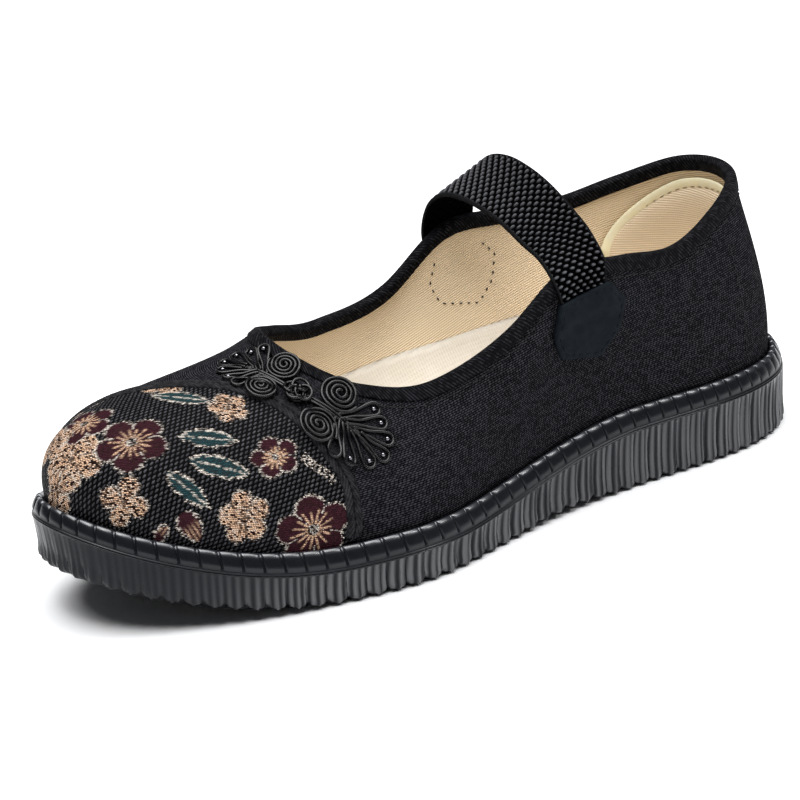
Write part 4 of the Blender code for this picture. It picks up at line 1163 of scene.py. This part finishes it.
def wall_sheet(columns, rows):
    """Grids of girths and shares over the whole wall, with one more row down in the well."""
    share = np.concatenate([[WALL_FOOT], np.linspace(0.0, 1.0, rows + 1)])
    return np.meshgrid(np.arange(columns) / columns, share)


def quarters(finish):
    """The outer cloth of the whole upper, from the well to the collar."""
    girth, share = wall_sheet(WALL_COLUMNS, WALL_ROWS)
    outer = wall_grid(girth, share, crease_lift(girth, share))
    form = Form()
    form.shell(outer, wall_grid(girth, share, -CLOTH_THICK), wrap=True)
    return form.piece("upper_quarters", finish, "cloth", ["upper"])


def lining(finish):
    """The inner cloth of the upper."""
    sheet = wall_sheet(LINING_COLUMNS, LINING_ROWS)
    form = Form()
    form.shell(wall_grid(*sheet, -WALL), wall_grid(*sheet, -LINING_START), wrap=True)
    return form.piece("upper_lining", finish, "lining")


def panel_flat(points):
    """Places of points of the toe panel in its flat plane."""
    centre, normal, _ = wall_frame([PANEL_GIRTH], [PANEL_SHARE])
    normal = normal[0]
    ahead = np.array([0.0, -1.0, 0.0])
    first = unit(ahead - normal * (ahead @ normal))
    second = np.cross(first, normal)
    away = points - centre[0]
    along, across, deep = away @ first, away @ second, np.abs(away @ normal)
    level = np.hypot(along, across) + TINY
    bend = np.maximum(np.arctan2(deep, level), LEAST_BEND)
    arc = np.linalg.norm(away, axis=-1) * bend / np.sin(bend)
    return along / level * arc, across / level * arc


def speckle(u, v, size, seed):
    """A fixed scatter of values from 0 to 1, one for each square of a size."""
    along, across, shift, much = SCATTER
    mixed = np.sin(np.floor(u / size) * along + np.floor(v / size) * across + seed * shift) * much
    return mixed - np.floor(mixed)


def ragged(inside, u, v, seed):
    """Depths inside a motif's ragged edge, its body, its outline and the scatter of its gold threads."""
    inside = inside + JAG * (speckle(u, v, JAG_GRAIN, seed) - 0.5)
    gold = speckle(u, v, GOLD_GRAIN, seed + 1)
    return inside, smooth(0.0, EDGE_SOFT, inside), np.abs(inside) < OUTLINE_WIDE, gold


def paint(tint, mask, colour, strength=1.0, weave=1.0):
    """Lays a colour over the pattern, with a weave from 0 for the plain ground to 1 for dense threads."""
    weight = (np.clip(mask, 0.0, 1.0) * strength)[..., None]
    tint[...] = tint * (1.0 - weight) + np.array([*colour, weave]) * weight


def petal_depth(u, v, size, petals):
    """How deep each place is inside the nearest petal, and how much less deep in the next one."""
    turn = 2.0 * np.pi * np.arange(petals) / petals
    middle = size * (1.0 - PETAL)
    depth = [size * PETAL - np.hypot(u - middle * np.cos(t), v - middle * np.sin(t)) for t in turn]
    ordered = np.sort(np.stack(depth), axis=0)
    return ordered[-1], ordered[-1] - ordered[-2]


def flower(tint, u, v, row, seed):
    """A blossom of round petals around the origin of u and v."""
    size, petals = row["size"], row["petals"]
    far, angle = np.hypot(u, v), np.arctan2(v, u)
    inside, apart = petal_depth(u, v, size, petals)
    _, petal, rim, gold = ragged(np.maximum(inside, 0.3 * size - far), u, v, seed)
    between = (apart < PETAL_GAP) * (far > 0.2 * size) * petal
    if row["kind"] == "peach":
        tone = speckle(u, v, TONE_GRAIN, seed + 2)
        paint(tint, petal, PEACH, weave=OPEN_WEAVE)
        paint(tint, petal * (tone > 0.72), CREAM, 0.45, OPEN_WEAVE)
        paint(tint, petal * (tone < 0.12), MAROON, 0.5, OPEN_WEAVE)
        paint(tint, between * (gold > 0.2), BLACK, 0.8)
        paint(tint, rim * (gold > 0.6), CREAM, 0.7)
        paint(tint, far < 0.1 * size, BLACK, 0.8)
        return
    paint(tint, petal, MAROON)
    paint(tint, petal * (speckle(u, v, DARK_GRAIN, seed + 3) > 0.75), BLACK, 0.5)
    rays = STREAKS * petals / (2.0 * np.pi)
    around = angle * rays + 0.5 * (1 - STREAKS % 2)
    off = far * np.abs(around - np.round(around)) / rays
    reach = size * (0.50 + 0.16 * speckle(np.round(around), 0.0 * u, 1.0, seed + 4))
    streak = smooth(STREAK_WIDE, 0.5 * STREAK_WIDE, off) * smooth(reach, reach - 0.8, far)
    eye = far < FLOWER_EYE * size
    paint(tint, streak * (far > FLOWER_EYE * size) * (gold > 0.12), PEACH)
    paint(tint, between * (gold > 0.35) * (far > 0.45 * size), CREAM, 0.85)
    paint(tint, rim * (gold > 0.5), CREAM, 0.75)
    paint(tint, eye, BLACK, 0.9)
    paint(tint, eye * (gold > 0.6), CREAM, 0.8)


def leaf(tint, u, v, row, seed):
    """A pointed leaf along u."""
    inside = LEAF_WIDE * row["size"] * (1.0 - np.abs(u / row["size"]) ** LEAF_POINT) - np.abs(v)
    inside, body, rim, gold = ragged(inside, u, v, seed)
    vein = smooth(0.75, 0.95, np.abs(np.sin(VEIN_TURN * (u - VEIN_SLANT * np.abs(v)))))
    paint(tint, body, TEAL)
    paint(tint, body * vein, BLACK, 0.5)
    paint(tint, rim * (gold > 0.5), CREAM, 0.95)
    paint(tint, (np.abs(v) < MIDRIB) * (inside > 0.2) * (gold > 0.35), CREAM, 0.75)


def bud(tint, u, v, row, seed):
    """A bud that opens along u."""
    size = row["size"]
    wide = size * (BUD_WIDE + BUD_FLARE * u / size)
    inside = wide * np.sqrt(np.clip(1.0 - (u / size) ** 2, 0.0, 1.0)) - np.abs(v)
    inside = np.where(np.abs(u) < size, inside, -size)
    inside, body, rim, gold = ragged(inside, u, v, seed)
    ray = smooth(0.7, 0.9, np.abs(np.sin(BUD_RAYS * v + 0.6))) * smooth(0.35 * size, -0.2 * size, u)
    paint(tint, body, MAROON)
    paint(tint, ray * (inside > 0.4), PEACH, 0.9)
    paint(tint, rim * (gold > 0.5), CREAM, 0.95)


def stem(tint, u, v, row, seed):
    """A broken line of gold thread along u."""
    near = np.abs(v - STEM_SWAY * np.sin(2.0 * u / row["size"])) < STEM_WIDE
    gold = speckle(u, v, GOLD_GRAIN, seed) > 0.45
    paint(tint, near * (np.abs(u) < row["size"]) * gold, CREAM, 0.85)


DRAW = {"peach": flower, "maroon": flower, "leaf": leaf, "bud": bud, "stem": stem}


def pattern(along, across):
    """Colours of the brocade at places of the panel's flat plane."""
    tint = np.tile(np.array([*BLACK, 0.0]), (*along.shape, 1))
    for seed, row in enumerate(MOTIFS.each()):
        turn = np.radians(row["turn"])
        squash = SQUASH if row["kind"] == "maroon" else 1.0
        away_u, away_v = along - row["along"], (across - row["across"]) / squash
        u = np.cos(turn) * away_u + np.sin(turn) * away_v
        v = np.cos(turn) * away_v - np.sin(turn) * away_u
        DRAW[row["kind"]](tint, u, v, row, seed)
    return tint


def toe_panel(finish):
    """The brocade panel from the braid down to the well."""
    girth, share = braid_path(PANEL_COLUMNS)
    row = np.linspace(0.0, 1.0, PANEL_ROWS + 1)[:, None]
    edge = np.linspace(girth[0], girth[-1], PANEL_COLUMNS + 1)
    girth = girth + (edge - girth) * row
    share = share + (PANEL_FOOT - share) * row
    crease = crease_lift(girth, share)
    outer = wall_grid(girth, share, crease + PANEL_HIGH)
    along, across = panel_flat(outer)
    form = Form()
    places = np.stack([along, across], axis=2)
    inner = wall_grid(girth, share, crease + PANEL_LOW)
    form.shell(outer, inner, tint=pattern(along, across), places=places, under=False)
    return form.piece("toe_panel", finish, "cloth")


def collar_binding(finish):
    """The tape: rounded over the collar and flat down both its sides."""
    girth = np.arange(WALL_COLUMNS) / WALL_COLUMNS
    top, normal, up = wall_frame(girth, np.full(WALL_COLUMNS, 1.0))
    per_share = rib_lengths(girth)
    over = TAPE_GAP + TAPE
    radius = WALL / 2.0 + over
    flange = [(1.0 - deep * BINDING_DEPTH / per_share, lift * over) for deep, lift in BINDING_FLANGE]
    rows = [on_wall(girth, share, lift) for share, lift in flange]
    for angle in np.linspace(0.0, np.pi, BINDING_TURN_STEPS):
        out = radius * np.cos(angle) - WALL / 2.0
        rows.append(top + normal * out + up * BINDING_CROWN * radius * np.sin(angle))
    rows += [on_wall(girth, share, -WALL - lift) for share, lift in flange[::-1]]
    rows += [top + normal * out + up * BINDING_INNER for out in (-WALL - BINDING_INNER, BINDING_INNER)]
    form = Form()
    form.grid(np.stack([*rows, rows[0]]), wrap=True)
    return form.piece("collar_tape", finish, "tape", ["collar_binding"])


def heights_tint(height):
    """A grey tint that follows heights from 0 to 1, which finishes turn into painted highlight and shade.
    """
    return np.stack([height, height, height, np.ones_like(height)], axis=-1)


def toe_braid(finish):
    """A low braid with slanted plaits over the seam of the toe panel."""
    here, normal, _ = wall_frame(*braid_path(BRAID_FINE_STEPS))
    side = unit(np.cross(normal, np.gradient(here, axis=0)))
    across = np.linspace(-1.0, 1.0, BRAID_ACROSS)[:, None]
    turns = lengths(here) / BRAID_PITCH + BRAID_SLANT * np.abs(across)
    plait = np.sqrt(1.0 - np.abs(turns % 1.0 - 0.5) * 2.0) * smooth(*BRAID_MIDDLE, np.abs(across))
    crown = np.sqrt(1.0 - np.abs(across) ** BRAID_CROWN)
    lift = GAP + (BRAID_HEIGHT * BRAID_FULL + BRAID_RELIEF * (plait - BRAID_LEVEL)) * crown
    flat = here + side * (across * BRAID_WIDTH / 2.0)[..., None]
    form = Form()
    # the tint follows the plaits: painted highlight on their crowns, painted shade between them
    form.shell(flat + normal * lift[..., None], flat + normal * BRAID_FOOT, tint=heights_tint(plait))
    return form.piece("toe_braid", finish, "tape", ["toe_seam_braid"])


def strap_tuck(share, side):
    """One line of a tucked strap end, from its end up over the collar: its under side and its upper."""
    depths = np.array(TUCK_DEPTHS)
    over = TAPE_GAP + TAPE + GAP
    lifts = np.array([GAP, GAP, over, over])
    stations = STRAP_FRONT + (STRAP_BACK - STRAP_FRONT) * share
    stations = stations + (2.0 * share - 1.0) * STRAP_TAPER * depths / STRAP_TUCK
    girth, height = wall_at(stations, collar_height(stations, side) - depths, side)
    thick = STRAP_THICK * np.array(TUCK_THICK)
    return on_wall(girth, height, lifts), on_wall(girth, height, lifts + thick)


def strap_line(share):
    """One line along the whole strap, at its front edge for share 0 and its back edge for 1: both sides."""
    across = STRAP["across"] + HEEL_X
    front, back = (STRAP[name] for name in ("front", "back"))
    middle = 1.0 - (across - HEEL_X) ** 2 / STRAP["across"][0] ** 2
    height = front + (back - front) * share - STRAP_SAG * middle
    slope = np.gradient(height, across)
    out = unit(np.column_stack([-slope, np.zeros(len(slope)), np.ones(len(slope))]))
    station = STRAP_FRONT + (STRAP_BACK - STRAP_FRONT) * share
    low = np.column_stack([across, np.full(len(across), station), height])
    outer, inner = strap_tuck(share, 1), strap_tuck(share, -1)
    under = np.vstack([outer[0], low, inner[0][::-1]])
    over = np.vstack([outer[1], low + out * STRAP_THICK, inner[1][::-1]])
    return under, over


def smooth_line(points, steps):
    """A smooth line through points, in even steps."""
    known = lengths(points)
    where = np.linspace(0.0, known[-1], steps + 1)
    return np.column_stack([cubic(known, points[:, k], where) for k in range(3)])


def strap_grains(across, along, shift):
    """Heights from 0 to 1 of one lattice of grains, moved by a share of its pitches."""
    fu = ((across / GRAIN_ACROSS + shift) % 1.0 - 0.5) * GRAIN_ACROSS
    fv = ((along / GRAIN_ALONG + shift) % 1.0 - 0.5) * GRAIN_ALONG - GRAIN_SLOPE * fu
    return np.clip(1.0 - (fu / GRAIN_LONG) ** 2 - (fv / GRAIN_WIDE) ** 2, 0.0, 1.0) ** GRAIN_DOME


def instep_strap(finish):
    """The elastic band, with a lattice of grains laid across it and plain edges, its tint painted highlight
    on the grains and painted shade between them and on its under side.
    """
    shares = np.linspace(0.0, 1.0, STRAP_LINES)
    lines = [strap_line(share) for share in shares]
    under = np.stack([smooth_line(low, STRAP_STEPS) for low, _ in lines])
    over = np.stack([smooth_line(high, STRAP_STEPS) for _, high in lines])
    wide = STRAP_FRONT - STRAP_BACK
    across = (shares * wide)[:, None]
    along = lengths(over[STRAP_LINES // 2])[None, :]
    grain = np.maximum(strap_grains(across, along, 0.0), strap_grains(across, along, 0.5))
    edge = np.minimum(across, wide - across)
    inside = smooth(STRAP_EDGE * SELVAGE_INNER, STRAP_EDGE, edge)
    selvage = SELVAGE_RISE * np.sin(np.pi * np.clip(edge / STRAP_EDGE, 0.0, 1.0)) * (1.0 - inside)
    rise = GRAIN_RELIEF * (grain - GRAIN_LEVEL) * inside + selvage
    out = unit(over - under)
    form = Form()
    # tint: painted highlight on the grains' crowns, painted shade between them, a set tone on the plain
    # edges
    tone = smooth(*GRAIN_PAINTED_LIGHT, grain) * inside + SELVAGE_TONE * (1.0 - inside)
    form.shell(over + out * rise[..., None], under, tint=heights_tint(tone))
    return form.piece("elastic_strap", finish, "elastic", ["instep_strap"])


def patch_outline():
    """The patch's outline with softened corners as (forward, up) at even angles around its middle."""
    stations, heights = (PATCH[name] for name in PATCH.columns)
    points = np.column_stack([stations - PATCH_STATION, heights - PATCH_HEIGHT])
    loop = np.vstack([points, points[:1]])
    step = lengths(loop)[-1] / PATCH_SAMPLES
    sharp = walk(loop, step * np.arange(PATCH_SAMPLES))
    reach = int(PATCH_ROUND / step)
    edge = np.mean([np.roll(sharp, k, axis=0) for k in range(-reach, reach + 1)], axis=0)
    whole = 2.0 * np.pi
    angle = np.mod(np.arctan2(edge[:, 1], edge[:, 0]), whole)
    order = np.argsort(angle)
    spokes = whole * np.arange(PATCH_SPOKES) / PATCH_SPOKES
    radius = np.interp(spokes, angle[order], np.linalg.norm(edge, axis=1)[order], period=whole)
    return np.column_stack([np.cos(spokes), np.sin(spokes)]) * radius[:, None]


def patch_ring(outline, share, side):
    """Girths, shares and lifts of a ring of the patch: high over the strap, low on the wall beside it."""
    stations = PATCH_STATION + outline[:, 0] * share
    heights = PATCH_HEIGHT + outline[:, 1] * share
    depth = collar_height(stations, side) - heights
    girth, height = wall_at(stations, heights, side)
    taper = PATCH_TAPER * STRAP_TAPER * np.clip(depth / STRAP_TUCK, 0.0, 1.0)
    front = 1.0 - smooth(0.0, PATCH_EASE, stations - STRAP_FRONT - taper)
    back = smooth(-PATCH_EASE, 0.0, stations - STRAP_BACK + taper)
    deep = 1.0 - smooth(0.0, PATCH_EASE, depth - STRAP_TUCK)
    over_strap = STRAP_THICK * np.interp(depth, TUCK_DEPTHS[::-1], TUCK_THICK[::-1]) + 2.0 * GAP
    over_tape = (TAPE_GAP + TAPE) * (1.0 - smooth(BINDING_DEPTH, BINDING_DEPTH + 2.0 * PATCH_EASE, depth))
    return girth, height, GAP + over_strap * front * back * deep + over_tape


def strap_patch(side, name, node, finish):
    """A leatherette plate over the strap's end, with a sewn groove near its edge."""
    outline = patch_outline()
    under, over = [], []
    for share in np.linspace(0.0, 1.0, PATCH_RINGS):
        girth, height, lift = patch_ring(outline, share, side)
        full = np.sqrt(1.0 - smooth(*PATCH_RIM_SHARES, share))
        thick = PATCH_THICK * (PATCH_RIM + (1.0 - PATCH_RIM) * full)
        sunk = PATCH_GROOVE * np.exp(-(((share - PATCH_STITCH) / PATCH_GROOVE_WIDE) ** 2))
        under.append(on_wall(girth, height, np.minimum(lift - PATCH_UNDER, GAP)))
        over.append(on_wall(girth, height, lift + thick - sunk))
    form = Form()
    for rings in (over, under, [over[-1], under[-1]]):
        form.grid(np.stack(rings), wrap=True)
    form.piece(name, finish, "leatherette", [node])
    girth, height, lift = patch_ring(outline, PATCH_STITCH, side)
    path = on_wall(girth, height, lift + PATCH_THICK - PATCH_THREAD_DEPTH)
    _, normal, _ = wall_frame(girth, height)
    sewing = Form()
    sewing.stitches(np.vstack([path, path[:1]]), np.vstack([normal, normal[:1]]), *PATCH_THREAD)
    sewing.piece(name + "_stitches", finish, "cord")


def frog_point(side, along, across, lift):
    """Points over the vamp and the wall's normals there, the far half mirrored, smaller and bent back."""
    spot = np.asarray(along, float) * side + 1j * np.asarray(across, float)
    if side < 0:
        spot = spot * FAR_SCALE * np.exp(1j * np.radians(FAR_BEND))
    girth, share = wall_around(FROG_GIRTH, FROG_SHARE, FROG_AXIS, spot.real, spot.imag)
    here, normal, _ = wall_frame(girth, share)
    return here + normal * (FROG_LIFT + trim_rise(girth, share) + lift)[:, None], normal


def coil_path(hand):
    """A spiral of cord from its middle out, and how far each place is from the middle."""
    turns = (COIL_RADIUS - CORD - COIL_START) / COIL_PITCH
    angle = np.linspace(0.0, 2.0 * np.pi * turns, int(turns * COIL_STEPS))
    far = COIL_START + COIL_PITCH * angle / (2.0 * np.pi)
    turn = hand * (angle - angle[-1])
    return COIL_ALONG + far * np.cos(turn), hand * COIL_ACROSS + far * np.sin(turn), far


def loop_path(root, tip_along, tip_across):
    """A hairpin loop of cord from the spine, round its tip and back, and how far out each place is."""
    straight = np.hypot(tip_along - root, tip_across)
    turn = np.arctan2(tip_across, tip_along - root)
    down = np.linspace(LOOP_START / straight, 1.0, LOOP_STEPS)
    neck = LOOP_NECK + (LOOP_RADIUS - LOOP_NECK) * smooth(LOOP_WAIST, 1.0, down)
    bend = np.radians(np.linspace(-90.0, 90.0, LOOP_BEND_STEPS)[1:-1])
    leg = down * straight
    along = np.concatenate([leg, straight + LOOP_RADIUS * np.cos(bend), leg[::-1]])
    across = np.concatenate([-neck, LOOP_RADIUS * np.sin(bend), neck[::-1]])
    ahead = root + np.cos(turn) * along - np.sin(turn) * across
    return ahead, np.sin(turn) * along + np.cos(turn) * across, along / straight


def frog_half(side, name, node, finish, gloss):
    """Two coils, seven loops and the link to the knot, all of one cord, with beads in the loops."""
    form, beads = Form(), Form()
    for hand in (-1.0, 1.0):
        along, across, far = coil_path(hand)
        dome = COIL_DOME * (1.0 - (far / COIL_RADIUS) ** 2)
        form.tube(*frog_point(side, along, across, CORD + COIL_LIFT + dome), CORD)
    for order, row in enumerate(LOOPS.each()):
        along, across, reach = loop_path(row["root"], row["along"], row["across"])
        stack = CORD * (order % 2) * (1.0 - smooth(*LOOP_STACK, reach))
        form.tube(*frog_point(side, along, across, CORD + stack), CORD)
        if row["bead"]:
            point, up = frog_point(side, [row["along"]], [row["across"]], BEAD * BEAD_LIFT)
            beads.ball(point[0], up[0], BEAD)
    for across in (-CORD, CORD):
        along = np.linspace(*LINK, LINK_STEPS)
        form.tube(*frog_point(side, along, np.full(LINK_STEPS, across), CORD), CORD)
    form.piece(name, finish, "cord", [node])
    beads.piece(name + "_beads", gloss, "cord")


def frog_knot(finish):
    """A woven button knot: one cord wound over and under itself on a low dome."""
    turn = np.linspace(0.0, 2.0 * np.pi * KNOT_TURNS, KNOT_STEPS, endpoint=False)
    wave = KNOT_LOBES * turn / KNOT_TURNS
    far = (KNOT_RADIUS - CORD) * (KNOT_MIDDLE + KNOT_SWING * np.cos(wave))
    dome = KNOT_RISE * np.sqrt(np.clip(1.0 - (far / (KNOT_RADIUS + KNOT_ROOM)) ** 2, 0.0, 1.0))
    weave = KNOT_WEAVE * np.sin(2.0 * wave + KNOT_SHIFT)
    path, ups = frog_point(1.0, far * np.cos(turn), far * np.sin(turn), CORD + dome + weave)
    form = Form()
    form.tube(path, ups, CORD, closed=True)
    point, up = frog_point(1.0, [0.0], [0.0], KNOT_CORE_LIFT)
    form.ball(point[0], up[0], KNOT_RADIUS - KNOT_CORE_INSET, flat=KNOT_CORE)
    return form.piece("frog_button", finish, "cord", ["frog_knot"])


def insole_rise(name, station):
    """Height of the insole's bed or lip over the floor of the well."""
    stations, rises = (INSOLE[key] for key in ("station", name))
    return cubic(stations, rises, station)


def insole(finish):
    """The cupped footbed, easing from its lip on the wall down to its bed."""
    girth = np.arange(INSOLE_GIRTHS) / INSOLE_GIRTHS
    edge_inset = RIM + GAP + WALL + INSOLE_GAP
    inner, _ = edge_at(girth, edge_inset + INSOLE_CUP_WIDTH)
    base, _ = edge_at(girth, edge_inset)
    lip_share = wall_shares_at(girth, floor_height(base[:, 1]) + insole_rise("lip", base[:, 1]))
    lip = on_wall(girth, lip_share, -(WALL + INSOLE_GAP))
    low = np.column_stack([base, floor_height(base[:, 1]) + GAP])
    bend = np.column_stack([base, part_height(base[:, 1]) + BAND_HEIGHT])
    bed = np.column_stack([inner, floor_height(inner[:, 1]) + insole_rise("bed", inner[:, 1])])
    rings = [low, bend, lip]
    for row in np.linspace(0.0, 1.0, INSOLE_SLOPE_ROWS + 1)[1:]:
        ring = lip + (bed - lip) * row
        ring[:, 2] = lip[:, 2] + (bed[:, 2] - lip[:, 2]) * np.sin(np.pi * row / 2.0)
        rings.append(ring)
    form = Form()
    plan = np.stack([np.vstack([ring, ring[:1]])[:, :2] for ring in rings])
    form.grid(np.stack(rings), plan, wrap=True)
    for ring in (rings[0], rings[-1]):
        fill = across_fill(ring, INSOLE_COLUMNS_ACROSS)
        form.grid(fill, fill[..., :2])
    made = form.piece("footbed", finish, "footbed", ["insole"])


def pad_top(steps):
    """Places from -1 to 1 along the heel pad, their girths, and the shares of its arched top."""
    part = np.linspace(-1.0, 1.0, steps + 1)
    fall = np.sqrt(np.clip(1.0 - np.abs(part) ** PAD_ARCH, 0.0, 1.0))
    return part, part * PAD_REACH, PAD_LOW + PAD_END + (PAD_HIGH - PAD_LOW - PAD_END) * fall


def heel_pad(finish, piping, thread):
    """The padded grip inside the heel, with a piped top edge and a sewn line under it."""
    part, girth, top = pad_top(PAD_COLUMNS)
    row = np.linspace(0.0, 1.0, PAD_ROWS + 1)[:, None]
    share = PAD_LOW + (top - PAD_LOW) * row
    crown = (1.0 - np.abs(part) ** PAD_FLAT) * (1.0 - (2.0 * row - 1.0) ** PAD_FLAT)
    seam = PAD_SEAM_DEPTH * np.exp(-(((row - PAD_SEAM) / PAD_SEAM_WIDE) ** 2))
    swell = PAD_EDGE + (PAD_THICK - PAD_EDGE) * crown - seam
    around = np.broadcast_to(girth, share.shape)
    form = Form()
    form.shell(wall_grid(around, share, -(WALL + swell)), wall_grid(around, share, -(WALL + PAD_BACK)))
    made = form.piece("heel_grip", finish, "lining", ["heel_pad"])
    here, normal, _ = wall_frame(girth, top)
    edge = Form()
    edge.tube(here - normal * (WALL + PIPING_DEPTH), normal, PIPING, sides=PIPING_SIDES, flat=PIPING_FLAT)
    edge.piece("heel_piping", piping, "lining")
    low = PAD_LOW + (top - PAD_LOW) * PAD_SEAM
    deep = swell[round(PAD_SEAM * PAD_ROWS)]
    here, normal, _ = wall_frame(girth, low)
    sewing = Form()
    path = here - normal * (WALL + deep + PAD_SEAM_LIFT)[:, None]
    sewn = slice(PAD_SEAM_ENDS, -PAD_SEAM_ENDS)
    sewing.stitches(path[sewn], -normal[sewn], *PAD_THREAD)
    sewing.piece("heel_stitches", thread, "lining")


def wall_stitches(form, girth, share, lift, thread):
    """A row of stitches along the wall, outside it or, with a negative lift, inside."""
    here, normal, _ = wall_frame(girth, share)
    form.stitches(here + normal * lift, normal * np.sign(lift), *thread)


def seams(thread, lining_thread):
    """Sewn lines of the quarters and of the lining."""
    form = Form()
    girth = np.linspace(0.0, 1.0, SEAM_SAMPLES)
    share = 1.0 - (BINDING_DEPTH + COLLAR_SEAM) / rib_lengths(girth)
    for part in (girth <= COLLAR_SEAM_GAP[0], girth >= COLLAR_SEAM_GAP[1]):
        wall_stitches(form, girth[part], share[part], COLLAR_SEAM_LIFT, QUARTER_THREAD)
    share = np.linspace(*HEEL_SEAM_SHARES, HEEL_SEAM_SAMPLES)
    for girth in (HEEL_SEAM, 1.0 - HEEL_SEAM):
        wall_stitches(form, np.full(len(share), girth), share, SEAM_LIFT, QUARTER_THREAD)
    form.piece("quarter_stitches", thread, "cloth")
    inside = Form()
    outline = patch_outline()
    sewn = np.arange(*PATCH_SEWN) % PATCH_SPOKES
    for side in (1, -1):
        girth, height, _ = patch_ring(outline, PATCH_STITCH, side)
        wall_stitches(inside, girth[sewn], height[sewn], -(WALL + SEAM_LIFT), LINING_THREAD)
    inside.piece("lining_stitches", lining_thread, "lining")


# Floor, light and camera
def light(name, kind, aim, **settings):
    """A light that shines along its aim."""
    lamp = bpy.data.lights.new(name, kind)
    for key, value in settings.items():
        setattr(lamp, key, value)
    obj = bpy.data.objects.new(name, lamp)
    obj.rotation_euler = Vector(aim).to_track_quat("-Z", "Y").to_euler()
    bpy.context.scene.collection.objects.link(obj)
    return obj


def stage():
    """A pale floor under soft light from above and from the sides."""
    bpy.ops.mesh.primitive_plane_add(size=FLOOR_SIZE, location=(0.0, 0.0, -FLOOR_DROP))
    floor = bpy.context.object
    floor.name = "floor"
    made = Finish("pale_floor")
    floor.data.materials.append(made.done(made.tones(made.noise(FLOOR_GRAIN))))
    world = bpy.context.scene.world or bpy.data.worlds.new("studio")
    bpy.context.scene.world = world
    world.use_nodes = True
    sky = world.node_tree.nodes["Background"].inputs
    sky["Color"].default_value = SKY_COLOUR
    sky["Strength"].default_value = SKY_STRENGTH
    light("key_light", "SUN", SUN_AIM, energy=SUN_STRENGTH, angle=np.radians(SUN_ANGLE))
    for row in LAMPS.each():
        aim = Vector(LAMP_AIM) - Vector(row["place"])
        light(row["name"], "AREA", aim, size=row["size"], energy=row["power"]).location = row["place"]
    bpy.context.scene.view_settings.view_transform = "Standard"


def camera():
    """The camera at the photo's angle to the shoe."""
    level = np.array([np.cos(CAMERA_AZIMUTH), np.sin(CAMERA_AZIMUTH), 0.0])
    over = np.array([-level[1], level[0], 0.0])
    ahead = over * np.cos(CAMERA_ELEVATION) - np.array([0.0, 0.0, np.sin(CAMERA_ELEVATION)])
    upright = np.cross(level, ahead)
    right = level * np.cos(CAMERA_ROLL) + upright * np.sin(CAMERA_ROLL)
    up = upright * np.cos(CAMERA_ROLL) - level * np.sin(CAMERA_ROLL)
    aim = np.array([HEEL_X, 0.0, CAMERA_HEIGHT])
    where = aim - ahead * CAMERA_DISTANCE + right * CAMERA_SLIDE[0] + up * CAMERA_SLIDE[1]
    data = bpy.data.cameras.new("photo_camera")
    data.sensor_width = SENSOR
    data.lens = CAMERA_FOCUS * SENSOR / FRAME_PIXELS
    obj = bpy.data.objects.new("photo_camera", data)
    turned = Matrix((right, up, -ahead)).transposed().to_4x4()
    obj.matrix_world = Matrix.Translation(where * MM) @ turned
    bpy.context.scene.collection.objects.link(obj)
    bpy.context.scene.camera = obj


def main():
    """Builds the camera, the stage, the finishes and then the pieces."""
    camera()
    stage()
    tape, cord, patch, bead = tape_twill(), satin_cord(), leatherette(), plain("glossy_bead", BEAD_GRAIN)
    black, dark, brown = (plain(tint + "_thread", THREAD_GRAIN) for tint in ("black", "dark", "brown"))
    sole(rubber())
    quarters(quarter_cloth())
    lining(lining_cloth("tan_lining", LINING_SLOPE))
    toe_panel(brocade())
    collar_binding(tape)
    toe_braid(braid_cloth())
    instep_strap(elastic_cloth())
    strap_patch(1, "patch_outer", "strap_patch_outer", patch)
    strap_patch(-1, "patch_inner", "strap_patch_inner", patch)
    frog_half(1.0, "frog_cord_outer", "frog_outer", cord, bead)
    frog_half(-1.0, "frog_cord_inner", "frog_inner", cord, bead)
    frog_knot(cord)
    insole(footbed_cloth())
    heel_pad(lining_cloth("pad_cloth", PAD_SLOPE), plain("yellow_piping", PIPING_GRAIN), brown)
    seams(black, dark)


main()
